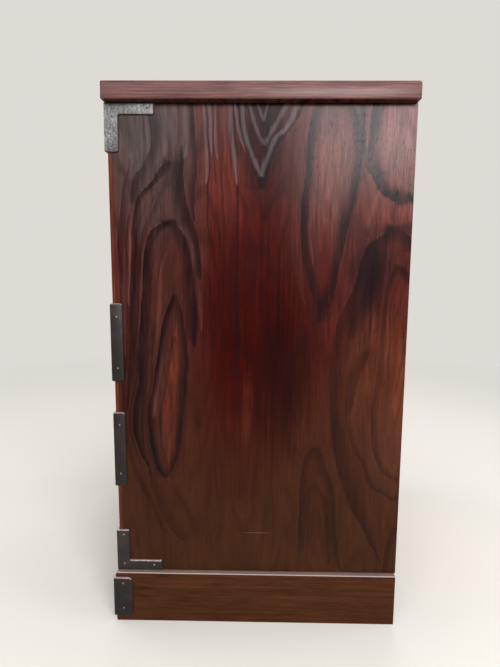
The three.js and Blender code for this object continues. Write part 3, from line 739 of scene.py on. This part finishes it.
def side_finish():
    finish = Finish("rosewood_sides")
    x, y, z = place(finish)
    across = y - FRONT_PLANE
    on_right = between(x, -MILLIMETRE, MILLIMETRE)
    up = on_right * z + (1 - on_right) * (SIDE_FOOT + BOARD_TOP - z)
    bent_across, bent_up = bend_board(across, up, 3, SIDE_SWAY)
    pore = pores(across, up, 16)

    light = deepest([draw_vein(bent_across, bent_up, vein, PORE_LINE) for vein in LIGHT_VEINS])
    pale = deepest([draw_vein(bent_across, bent_up, vein, PORE_LINE) for vein in PALE_VEINS])
    tone = board_tones(across, up, SIDE_TONES_AND_SHEEN, SIDE_POOLS_AND_SHEEN, 12)
    wood = mixed(LIGHT_SHARE * light, tone, LIGHT_WOOD)
    wood = mixed(side_rings(across, up, bent_across, bent_up), wood, LATE_WOOD)
    wood = mixed(PALE_SHARE * pale, wood, PORE_PALE)
    wood = mixed(scratch(across, up) * on_right, wood, PORE_PALE)
    clear = between(up, FAINT_FOOT, FAINT_HEAD, FAINT_STREAKS, 1.0)
    streaked = 1 + (streaks(bent_across, up, 20) - 1) * clear
    wood = scaled(wood, streaked * (1 - PORE_DARK * pore))

    lip = between(across, LIPPING - JOINT, LIPPING + JOINT, 1.0, 0.0)
    joint = between(abs(across - LIPPING), 0.0, JOINT, 1.0, 0.0)
    lip_wood = scaled(LIPPING_TONE[:3], streaks(across, up, 25))
    colour = mixed(JOINT_SHARE * joint, mixed(lip, wood, lip_wood), LATE_WOOD)
    return lacquered(finish, colour, across, up, pore)


side_wood = side_finish()
print("side veneer:", len(side_wood.node_tree.nodes), "nodes")

# %% [markdown]
# The drawer fronts are cut from one leaf laid sideways, so that the figure runs on from drawer to drawer.
# The same functions draw it, with the grain along the width. Each front is a plain board behind its
# veneer, which shows as a line on its edges once a drawer is open.

# %% Finish of the drawer fronts
CORE_RING = Ring(0.5, 0.3, 0.1, 0.2)
FRONT_LOOPS = [
    Loops(0.185, 0.06, 0.030, 0.17, lean=0.05, rings=[
        CORE_RING, Ring(1.0, 0.8, 0.08, 0.25), Ring(1.5, 0.6, 0.06), Ring(2.0, 0.5, 0.06)]),
    Loops(0.385, -0.12, 0.034, 0.20, lean=-0.04, rings=[
        CORE_RING, Ring(1.0, 0.85, 0.08, 0.3), Ring(1.45, 0.5, 0.06), Ring(1.9, 0.6, 0.06)]),
    Loops(0.560, 0.13, 0.028, 0.18, lean=0.03, rings=[
        Ring(0.6, 0.3, 0.1), Ring(1.0, 0.75), Ring(1.5, 0.6, 0.06, 0.3)]),
    Loops(0.720, -0.07, 0.030, 0.21, lean=-0.03, rings=[
        CORE_RING, Ring(1.0, 0.85, 0.08, 0.25), Ring(1.5, 0.5, 0.06), Ring(2.1, 0.5, 0.06)]),
]
PLAIN_TONES = [(0.0, paint(66, 34, 22)), (0.5, paint(72, 28, 20)), (1.0, paint(78, 34, 28))]
LOOP_SHARE = 0.9
VENEER = 0.8 * MILLIMETRE
VENEER_JOINT = 0.2 * MILLIMETRE
LEAF_SWAY = 8 * MILLIMETRE
CORE_WOOD = paint(150, 104, 68)


def drawer_front_finish():
    finish = Finish("rosewood_drawer_fronts")
    x, y, z = place(finish)
    bent_across, bent_up = bend_board(z, x, 41, LEAF_SWAY)
    rings = deepest([draw_loops(bent_across, bent_up, loops) for loops in FRONT_LOOPS])
    tone = board_tones(x, z, PLAIN_TONES, [], 44)
    pore = pores(z, x, 46)
    brightness = streaks(bent_across, x, 50) * (1 - PORE_DARK * pore)
    wood = scaled(mixed(LOOP_SHARE * rings, tone, LATE_WOOD), brightness)
    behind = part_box("drawer_1_front")[0].y + VENEER
    core = between(y, behind, behind + VENEER_JOINT)
    core_wood = scaled(CORE_WOOD[:3], streaks(z, x, 53))
    return lacquered(finish, mixed(core, wood, core_wood), z, x, pore)


drawer_fronts = drawer_front_finish()
print("drawer fronts:", len(FRONT_LOOPS), "nests of loops")

# %% [markdown]
# The other rosewood boards are solid and straight-grained, with a soft wave in the base. Which way the
# grain runs is a choice of axes. The rounded upper edge of a board is painted paler, and most of all that
# of the base, which stands proud: partly dust, and partly a painted highlight where light from above
# catches the edge. The way a face looks tells where it lies. Flat faces that look up are lightened less.

# %% Finishes of the solid boards
RING_SPACING = 11 * MILLIMETRE
RING_WAVE = Patch(50, 220)
RING_WAVER = Patch(20, 60)
RING_WAVER_SHARE = 0.3
RING_TURNS = 1.6
RING_FROM = -0.2
BASE_TONE = paint(60, 32, 17)
BASE_LINES = 0.14
BASE_DUST_AND_HIGHLIGHT = 0.7
RAIL_TONE = paint(70, 32, 23)
RAIL_LINES = 0.2
RAIL_DUST_AND_HIGHLIGHT = 0.15
# A pale colour for faces that look up: dust, and a painted highlight.
DUST_AND_HIGHLIGHT = paint(164, 150, 147)
ROUND_LEAST, ROUND_FULL = 0.3, 0.7
FLAT_LEAST, FLAT_FULL = 0.9, 0.99
FLAT_SPARED = 0.7


def grain_lines(across, along, seed, spacing=RING_SPACING):
    """Growth lines that run along a straight-grained board and wave a little."""
    wave = noise(across, along, RING_WAVE, seed)
    wave = wave + RING_WAVER_SHARE * noise(across, along, RING_WAVER, seed + 1)
    return sine(across / spacing + RING_TURNS * wave, RING_FROM)


def solid_finish(name, axes, tone, line_share, dust_and_highlight_share, seed):
    """A straight-grained board: axes gives the axis across its face and the axis along the grain."""
    finish = Finish(name)
    at = dict(zip("xyz", place(finish)))
    across, along = at[axes[0]], at[axes[1]]
    lines = grain_lines(across, along, seed)
    pore = pores(across, along, seed + 2)
    brightness = streaks(across, along, seed + 4) * (1 - PORE_DARK * pore)
    wood = scaled(mixed(line_share * lines, tone, LATE_WOOD), brightness)
    # Painted highlight and dust: rounded edges that look up are mixed toward the pale colour, flat faces
    # less.
    look = facing_up(finish)
    flat_spared = FLAT_SPARED * between(look, FLAT_LEAST, FLAT_FULL)
    dusty_and_highlighted = mixed(dust_and_highlight_share * (between(look, ROUND_LEAST, ROUND_FULL) - flat_spared), wood, DUST_AND_HIGHLIGHT)
    return lacquered(finish, dusty_and_highlighted, across, along, pore)


base_sideways = solid_finish("rosewood_along_the_depth", "zy", BASE_TONE, BASE_LINES, BASE_DUST_AND_HIGHLIGHT, 60)
base_frontways = solid_finish("rosewood_along_the_width", "zx", BASE_TONE, BASE_LINES, BASE_DUST_AND_HIGHLIGHT, 67)
rails = solid_finish("rosewood_rails", "zx", RAIL_TONE, RAIL_LINES, RAIL_DUST_AND_HIGHLIGHT, 120)
print("solid boards: growth lines about", RING_SPACING / MILLIMETRE, "mm apart")

# %% [markdown]
# The top board is veneered on both faces, with nests of loops along the width. Its edges are lipped with
# plain wood, so on them fine lines follow the edge all the way round.

# %% Finish of the top board
TOP_LOOPS = [
    Loops(-0.09, -0.06, 0.030, 0.20, lean=0.05, rings=FRONT_LOOPS[0].rings),
    Loops(0.10, 0.10, 0.036, 0.24, lean=-0.04, rings=FRONT_LOOPS[1].rings),
]
TOP_TONE = paint(88, 60, 58)
TOP_LOOP_SHARE = 0.85
TOP_EDGE_SHARE = 0.25
TOP_EDGE_SPACING = 4 * MILLIMETRE
FACE_LEAST, FACE_FULL = 0.7, 0.75


def top_finish():
    finish = Finish("rosewood_top")
    x, y, z = place(finish)
    face = between(abs(facing_up(finish)), FACE_LEAST, FACE_FULL)
    bent_across, bent_up = bend_board(y, x, 71, LEAF_SWAY)
    rings = deepest([draw_loops(bent_across, bent_up, nest) for nest in TOP_LOOPS])
    edge_lines = grain_lines(z, x + y, 74, TOP_EDGE_SPACING)
    dark = TOP_LOOP_SHARE * rings * face + TOP_EDGE_SHARE * edge_lines * (1 - face)
    brightness = streaks(bent_across, x, 80) * face + streaks(z, x + y, 84) * (1 - face)
    wood = scaled(mixed(dark, TOP_TONE, LATE_WOOD), brightness)
    return lacquered(finish, wood, y, x, pores(y, x, 78))


top_wood = top_finish()
print("top board:", len(TOP_LOOPS), "nests of loops")

# %% [markdown]
# Inside, the drawers are plain pale wood, planed and left bare, and the back is thin stained plywood,
# whose outer ply is peeled from the log, so its figure is broad and cloudy.

# %% Finishes of the pale wood and of the plywood
PALE_WOOD = paint(194, 162, 120)
PALE_LINE = paint(160, 122, 82)
PALE_LINES = 0.5
PALE_FIBRE = Patch(1.2, 50)
PALE_ROUGHNESS = 0.62
PALE_RELIEF = 0.1 * MILLIMETRE
FIBRE_TONE = 0.12
FIBRE_ROUGHNESS = 0.1
BARE_SHINE = 0.3
PLY_TONE = paint(106, 72, 50)
PLY_LINE = paint(66, 42, 29)
PLY_LINES = 0.3
PLY_CLOUD = Patch(130, 1100, 1.0)
PLY_WAVER = Patch(12, 100)
PLY_RINGS = 7
PLY_WAVER_RINGS = 0.25
PLY_FROM = -0.4
PLY_FIBRE = Patch(1.5, 60)
PLY_FIBRE_TONE = 0.1
PLY_ROUGHNESS = 0.6
PLY_RELIEF = 0.15 * MILLIMETRE


def pale_finish(name, axes, seed):
    finish = Finish(name)
    at = dict(zip("xyz", place(finish)))
    across, along = at[axes[0]], at[axes[1]]
    fibre = noise(across, along, PALE_FIBRE, seed + 3)
    lines = PALE_LINES * grain_lines(across, along, seed)
    colour = scaled(mixed(lines, PALE_WOOD, PALE_LINE), 1 + FIBRE_TONE * fibre)
    roughness = PALE_ROUGHNESS + FIBRE_ROUGHNESS * fibre
    return surface(finish, colour, roughness, fibre, PALE_RELIEF, BARE_SHINE)


def plywood_finish():
    finish = Finish("stained_plywood")
    x, _, z = place(finish)
    waver = PLY_WAVER_RINGS * noise(x, z, PLY_WAVER, 91)
    lines = sine(PLY_RINGS * noise(x, z, PLY_CLOUD, 90) + waver, PLY_FROM)
    fibre = noise(x, z, PLY_FIBRE, 93)
    brightness = streaks(x, z, 94) + PLY_FIBRE_TONE * fibre
    colour = scaled(mixed(PLY_LINES * lines, PLY_TONE, PLY_LINE), brightness)
    return surface(finish, colour, PLY_ROUGHNESS + FIBRE_ROUGHNESS * fibre, fibre, PLY_RELIEF, BARE_SHINE)


pale_sideways = pale_finish("pale_wood_along_the_depth", "zy", 100)
pale_backways = pale_finish("pale_wood_along_the_width", "zx", 107)
pale_floors = pale_finish("pale_wood_floors", "yx", 114)
plywood = plywood_finish()
print("bare woods:", pale_sideways.name, pale_backways.name, pale_floors.name, plywood.name)

# %% [markdown]
# The irons are cast in sand and blackened. Close to, their skin is grainy with shallow dimples, and
# handling has rubbed it a little smoother and greyer in patches. On the top corners the rubbed patches
# are the lightest grey, partly wear and partly a painted reflection. Whatever looks up is painted paler,
# partly dust and partly a painted highlight. Straps, base plates and bails are smoother than the corners.

# %% Finish of the iron
IRON_BLACK = paint(31, 27, 26)
IRON_RUBBED = paint(58, 45, 37)
# The light grey of the rubbed patches on the top corner irons is partly wear and partly a painted
# reflection.
CAST_RUBBED_AND_SHEEN = paint(104, 102, 104)
# How far faces that look up are lightened: dust, and a painted highlight.
IRON_DUST_AND_HIGHLIGHT = 0.7
UPWARD_LEAST, UPWARD_FULL = 0.4, 0.9
SAND_PER_METRE, SAND_DETAIL = 900.0, 2.0
DIMPLES_PER_METRE, DIMPLE_DETAIL = 260.0, 1.0
RUBS_PER_METRE, RUB_DETAIL = 45.0, 3.0
RUB_LEAST, RUB_FULL = -0.1, 0.5
RUB_DIMPLED = 0.3
IRON_ROUGHNESS = 0.42
RUBBED_SMOOTHER = 0.10
SAND_ROUGHER = 0.12
DIMPLES_TO_SAND = 2.5
IRON_METAL = 0.35
CAST_SHINE, DARK_SHINE, SMOOTH_SHINE = 1.0, 0.4, 0.25
CAST_RELIEF = 0.28 * MILLIMETRE
SMOOTH_RELIEF = 0.08 * MILLIMETRE


def iron_finish(name, relief, shine, rubbed_and_sheen_tone):
    finish = Finish(name)
    at = finish.node("ShaderNodeTexCoord", output="Object")

    def lumps(per_metre, detail):
        inputs = {"Vector": at, "Scale": per_metre, "Detail": detail}
        return finish.node("ShaderNodeTexNoise", None, inputs) - 0.5

    sand = lumps(SAND_PER_METRE, SAND_DETAIL)
    dimples = lumps(DIMPLES_PER_METRE, DIMPLE_DETAIL)
    rubbed = between(lumps(RUBS_PER_METRE, RUB_DETAIL) + RUB_DIMPLED * dimples, RUB_LEAST, RUB_FULL)
    # Painted highlight and dust: faces that look up are mixed toward the pale colour.
    dust_and_highlight = IRON_DUST_AND_HIGHLIGHT * between(facing_up(finish), UPWARD_LEAST, UPWARD_FULL)
    colour = mixed(dust_and_highlight, mixed(rubbed, IRON_BLACK, rubbed_and_sheen_tone), DUST_AND_HIGHLIGHT)
    roughness = IRON_ROUGHNESS - RUBBED_SMOOTHER * rubbed + SAND_ROUGHER * sand
    return surface(finish, colour, roughness, sand + DIMPLES_TO_SAND * dimples, relief, shine, IRON_METAL)


# The top corner irons: their pale grey rubbed patches are partly a painted reflection.
cast_iron = iron_finish("cast_iron", CAST_RELIEF, CAST_SHINE, CAST_RUBBED_AND_SHEEN)
dark_cast_iron = iron_finish("dark_cast_iron", CAST_RELIEF, DARK_SHINE, IRON_RUBBED)
smooth_iron = iron_finish("smooth_iron", SMOOTH_RELIEF, SMOOTH_SHINE, IRON_RUBBED)
print("finishes made:", len(bpy.data.materials))

# %% [markdown]
# Now each node of the model gets its finish. Real edges are never razor sharp: lacquer and wear round
# them, and that thin rounding catches the light. A bevel modifier gives it without touching the mesh. It
# needs joined corners, so a small node modifier merges them first and marks which edges stay sharp.

# %% Softened edges
SHARP_ANGLE = math.radians(35)
MERGE_WITHIN = 0.01 * MILLIMETRE
WOOD_EDGE = 0.5 * MILLIMETRE
IRON_EDGE = 0.35 * MILLIMETRE
EDGE_SEGMENTS = 2


def joined_skin():
    """A modifier that merges corners that touch and shades smoothly all but the sharp edges."""
    tree = bpy.data.node_groups.new("joined_skin", "GeometryNodeTree")
    tree.interface.new_socket("Geometry", in_out="INPUT", socket_type="NodeSocketGeometry")
    tree.interface.new_socket("Geometry", in_out="OUTPUT", socket_type="NodeSocketGeometry")
    start = tree.nodes.new("NodeGroupInput")
    end = tree.nodes.new("NodeGroupOutput")
    merge = tree.nodes.new("GeometryNodeMergeByDistance")
    merge.inputs["Distance"].default_value = MERGE_WITHIN
    faces = tree.nodes.new("GeometryNodeSetShadeSmooth")
    edges = tree.nodes.new("GeometryNodeSetShadeSmooth")
    edges.domain = "EDGE"
    angle = tree.nodes.new("GeometryNodeInputMeshEdgeAngle")
    gentle = tree.nodes.new("FunctionNodeCompare")
    gentle.operation = "LESS_THAN"
    gentle.inputs[1].default_value = SHARP_ANGLE
    for source, target in (
        (start.outputs[0], merge.inputs["Geometry"]),
        (merge.outputs[0], faces.inputs["Geometry"]),
        (faces.outputs[0], edges.inputs["Geometry"]),
        (angle.outputs["Unsigned Angle"], gentle.inputs[0]),
        (gentle.outputs[0], edges.inputs["Shade Smooth"]),
        (edges.outputs[0], end.inputs[0]),
    ):
        tree.links.new(source, target)
    return tree


skin = joined_skin()


def soften(piece, width):
    piece.modifiers.new("joined_skin", "NODES").node_group = skin
    bevel = piece.modifiers.new("worn_edges", "BEVEL")
    bevel.width = width
    bevel.segments = EDGE_SEGMENTS
    bevel.limit_method = "ANGLE"
    bevel.angle_limit = SHARP_ANGLE
    bevel.harden_normals = True


print("edges rounded by", WOOD_EDGE / MILLIMETRE, "mm on wood and", IRON_EDGE / MILLIMETRE, "mm on iron")

# %% Dress every node of the model
Dress = namedtuple("Dress", "names material slot")
WARDROBE = [
    Dress("side_panel_*", side_wood, "rosewood_veneer"),
    Dress("top_board", top_wood, "rosewood_veneer"),
    Dress("drawer_?_front", drawer_fronts, "rosewood_veneer"),
    Dress("bottom_board", rails, "rosewood_solid"),
    Dress("divider_?", rails, "rosewood_solid"),
    Dress("top_rail_front", rails, "rosewood_solid"),
    Dress("base_front", base_frontways, "rosewood_solid"),
    Dress("base_back", base_frontways, "rosewood_solid"),
    Dress("base_side_*", base_sideways, "rosewood_solid"),
    Dress("back_panel", plywood, "stained_plywood"),
    Dress("top_rail_back", pale_backways, "pale_wood"),
    Dress("drawer_?_side_*", pale_sideways, "pale_wood"),
    Dress("drawer_?_back", pale_backways, "pale_wood"),
    Dress("drawer_?_floor", pale_floors, "pale_wood"),
    Dress("top_corner_iron_*", cast_iron, "cast_iron"),
    Dress("bottom_corner_iron_*", dark_cast_iron, "cast_iron"),
    Dress("drawer_?_backplate_*", dark_cast_iron, "cast_iron"),
    Dress("upper_strap_*", smooth_iron, "cast_iron"),
    Dress("lower_strap_*", smooth_iron, "cast_iron"),
    Dress("base_corner_iron_*", smooth_iron, "cast_iron"),
    Dress("drawer_?_bail_*", smooth_iron, "cast_iron"),
]

for name, piece in nodes.items():
    dress = next(rule for rule in WARDROBE if fnmatch(name, rule.names))
    for place_of_finish in piece.material_slots:
        place_of_finish.material = dress.material
    soften(piece, IRON_EDGE if dress.slot == "cast_iron" else WOOD_EDGE)
print("pieces dressed:", len(nodes), "by", len(WARDROBE), "rules")

# %% [markdown]
# Each iron is held by small nails with domed, hand-struck heads. They are placed from the edges of the
# iron that they hold, and stand on its face. Each head is a low dome turned from a short profile, with
# its rim let into the iron so that no gap shows.

# %% One nail head
NAIL_RADIUS = 1.9 * MILLIMETRE
NAIL_RISE = 0.9 * MILLIMETRE
NAIL_SUNK = 0.3 * MILLIMETRE
NAIL_SIDES = 20
NAIL_RINGS = 5


def nail_rings():
    """Radius and height of each ring of a nail head, from the rim to the crown."""
    rings = [(NAIL_RADIUS, -NAIL_SUNK)]
    for step in range(NAIL_RINGS):
        angle = math.pi / 2 * step / NAIL_RINGS
        rings.append((NAIL_RADIUS * math.cos(angle), NAIL_RISE * math.sin(angle)))
    return rings


def add_nail(points, faces, middle, outward):
    """Adds one head to a list of points and faces, standing on middle and facing outward."""
    turn = outward.to_track_quat("Z", "Y")
    first = len(points)
    rings = nail_rings()
    for radius, height in rings:
        for side in range(NAIL_SIDES):
            angle = 2 * math.pi * side / NAIL_SIDES
            rim = Vector((radius * math.cos(angle), radius * math.sin(angle), height))
            points.append(middle + turn @ rim)
    points.append(middle + outward * NAIL_RISE)
    crown = len(points) - 1
    for ring in range(len(rings) - 1):
        for side in range(NAIL_SIDES):
            beside = (side + 1) % NAIL_SIDES
            low = first + ring * NAIL_SIDES
            high = low + NAIL_SIDES
            faces.append((low + side, low + beside, high + beside, high + side))
    last = first + (len(rings) - 1) * NAIL_SIDES
    faces += [(last + side, last + (side + 1) % NAIL_SIDES, crown) for side in range(NAIL_SIDES)]
    faces.append([first + side for side in reversed(range(NAIL_SIDES))])


def nails(name, body, places):
    """One piece that holds the nail heads of one iron. places lists (middle, outward)."""
    points, faces = [], []
    for middle, outward in places:
        add_nail(points, faces, middle, outward)
    mesh = bpy.data.meshes.new(name)
    mesh.from_pydata(points, [], faces)
    mesh.shade_smooth()
    mesh.materials.append(cast_iron)
    piece = bpy.data.objects.new(name, mesh)
    bpy.context.scene.collection.objects.link(piece)
    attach(piece, body)


print("a nail head:", 2 * NAIL_RADIUS / MILLIMETRE, "mm across,", NAIL_RISE / MILLIMETRE, "mm high")

# %% Nails of the irons on the case
# Each place is in millimetres: in from the front, and up from the iron's low edge or, if it is negative,
# down from its upper edge.
CORNER_NAILS = [(13.5, -7.5), (64, -7.5), (13.5, -19), (10.5, -60)]
FOOT_NAILS = [(11.5, 10.5), (60, 8.5), (11.5, 61)]
STRAP_NAILS = [(10, 20.5), (10, -20.5)]
BASE_NAILS = [(15.5, 13), (15.5, -9.5)]


def iron_nails(iron, hand, insets):
    """Nails on both leaves of an iron that wraps round a corner: on the side and in front."""
    low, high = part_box(f"{iron}_{hand}")
    outward = 1 if hand == "right" else -1
    side = high.x if hand == "right" else low.x
    places = []
    for inward, rise in insets:
        z = (low.z if rise >= 0 else high.z) + rise * MILLIMETRE
        inward = inward * MILLIMETRE
        places.append((Vector((side, low.y + inward, z)), Vector((outward, 0, 0))))
        places.append((Vector((side - outward * inward, low.y, z)), Vector((0, -1, 0))))
    nails(f"{iron}_{hand}_nails", "case", places)


for hand in ("right", "left"):
    iron_nails("top_corner_iron", hand, CORNER_NAILS)
    iron_nails("bottom_corner_iron", hand, FOOT_NAILS)
    iron_nails("upper_strap", hand, STRAP_NAILS)
    iron_nails("lower_strap", hand, STRAP_NAILS)
    iron_nails("base_corner_iron", hand, BASE_NAILS)

# %% Nails of the pulls
DRAWERS = 4
BACKPLATE = 2.7 * MILLIMETRE
BACKPLATE_INSET = 6 * MILLIMETRE

for drawer in range(1, DRAWERS + 1):
    for hand in ("right", "left"):
        plate = f"drawer_{drawer}_backplate_{hand}"
        low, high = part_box(plate)
        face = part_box(f"drawer_{drawer}_front")[0].y - BACKPLATE
        middle = (low.z + high.z) / 2
        nails(plate + "_nails", f"drawer_{drawer}", [
            (Vector((x, face, middle)), Vector((0, -1, 0)))
            for x in (low.x + BACKPLATE_INSET, high.x - BACKPLATE_INSET)])

# %% [markdown]
# The studio is plain: a pale floor that fades into a pale backdrop, even light from all round, and soft
# boxes. The camera and gloss see the pale floor and backdrop, and so would glass. Everything else gets a
# dimmer, even light, and a browner one from the floor, so that the studio's paleness adds no light to the
# wood.

# %% Floor and backdrop
BACKDROP = paint(222, 219, 213)
FLOOR_TONE = paint(184, 180, 174)
FLOOR_DULL = paint(118, 98, 78)
FLOOR_HALF = 15.0
FLOOR_SOLID = 0.9
FLOOR_GONE = 2.4
WORLD_LIGHT = 0.15


def shown(sheet):
    """1 for the rays that show the studio: the camera's own, and those that gloss or glass sends on."""
    ray = sheet.node("ShaderNodeLightPath", output="Is Camera Ray")
    return most(most(ray, ray.also("Is Glossy Ray")), ray.also("Is Transmission Ray"))


def floor_finish():
    finish = Finish("studio_floor")
    x, y, _ = place(finish)
    away = between((x * x + y * y) ** 0.5, FLOOR_SOLID, FLOOR_GONE)
    looked_at = shown(finish)
    dull = finish.node("ShaderNodeBsdfDiffuse", None, {"Color": FLOOR_DULL})
    pale = finish.node("ShaderNodeBsdfDiffuse", None, {"Color": FLOOR_TONE})
    bare = finish.node("ShaderNodeMixShader", None, {0: looked_at, 1: dull, 2: pale})
    seen = finish.node("ShaderNodeEmission", None, {"Color": BACKDROP})
    lit = finish.node("ShaderNodeEmission", None, {"Strength": WORLD_LIGHT})
    glow = finish.node("ShaderNodeMixShader", None, {0: looked_at, 1: lit, 2: seen})
    both = finish.node("ShaderNodeMixShader", None, {0: away, 1: bare, 2: glow})
    finish.node("ShaderNodeOutputMaterial", None, {0: both})
    return finish.material


floor_mesh = bpy.data.meshes.new("studio_floor")
corners = [(-FLOOR_HALF, -FLOOR_HALF, 0), (FLOOR_HALF, -FLOOR_HALF, 0),
           (FLOOR_HALF, FLOOR_HALF, 0), (-FLOOR_HALF, FLOOR_HALF, 0)]
floor_mesh.from_pydata(corners, [], [range(len(corners))])
floor_mesh.materials.append(floor_finish())
floor = bpy.data.objects.new("studio_floor", floor_mesh)
bpy.context.scene.collection.objects.link(floor)
print("the floor fades into the backdrop from", FLOOR_SOLID, "to", FLOOR_GONE, "m from the chest")

# %% The world: even light, and a pale backdrop for whatever sees past the chest
world = bpy.data.worlds.new("studio")
world.use_nodes = True
sky = Sheet(world.node_tree)
even = sky.node("ShaderNodeBackground", None, {"Strength": WORLD_LIGHT})
backdrop = sky.node("ShaderNodeBackground", None, {"Color": BACKDROP})
both = sky.node("ShaderNodeMixShader", None, {0: shown(sky), 1: even, 2: backdrop})
sky.node("ShaderNodeOutputWorld", None, {0: both})
bpy.context.scene.world = world
print("the even light of the world:", WORLD_LIGHT)

# %% [markdown]
# Two soft boxes stand on the right, beyond the camera and higher than the chest. The lacquer mirrors them
# as the dusky sheen that the photograph shows near the top of the side, the smaller one toward the rear.
# Broader ones light the other three sides, and one hangs above.

# %% Soft boxes
SoftBox = namedtuple("SoftBox", "name place aim width height watts")
SOFT_BOXES = [
    SoftBox("right_soft_box", (1.95, -0.05, 1.53), (0.28, 0.0, 0.6), 2.6, 0.6, 37),
    SoftBox("right_low_soft_box", (1.95, 0.54, 1.20), (0.28, 0.1, 0.7), 1.0, 0.45, 48),
    SoftBox("front_soft_box", (-0.5, -2.2, 1.7), (0.0, 0.0, 0.4), 2.2, 1.0, 42),
    SoftBox("left_soft_box", (-2.1, 0.3, 1.7), (0.0, 0.0, 0.4), 2.2, 1.0, 42),
    SoftBox("back_soft_box", (0.3, 2.2, 1.7), (0.0, 0.0, 0.4), 2.2, 1.0, 42),
    SoftBox("top_soft_box", (0.0, 0.0, 2.6), (0.0, 0.0, 0.0), 1.6, 1.2, 26),
]

for box in SOFT_BOXES:
    data = bpy.data.lights.new(box.name, "AREA")
    data.shape = "RECTANGLE"
    data.size = box.width
    data.size_y = box.height
    data.energy = box.watts
    lamp = bpy.data.objects.new(box.name, data)
    lamp.location = box.place
    lamp.rotation_mode = "QUATERNION"
    lamp.rotation_quaternion = (Vector(box.aim) - Vector(box.place)).to_track_quat("-Z", "Y")
    bpy.context.scene.collection.objects.link(lamp)
print("soft boxes:", len(SOFT_BOXES), "with", sum(box.watts for box in SOFT_BOXES), "watts in all")

# %% [markdown]
# Plain colours are wanted, so the standard view transform is used and nothing else is graded.

# %% The view transform
bpy.context.scene.view_settings.view_transform = "Standard"
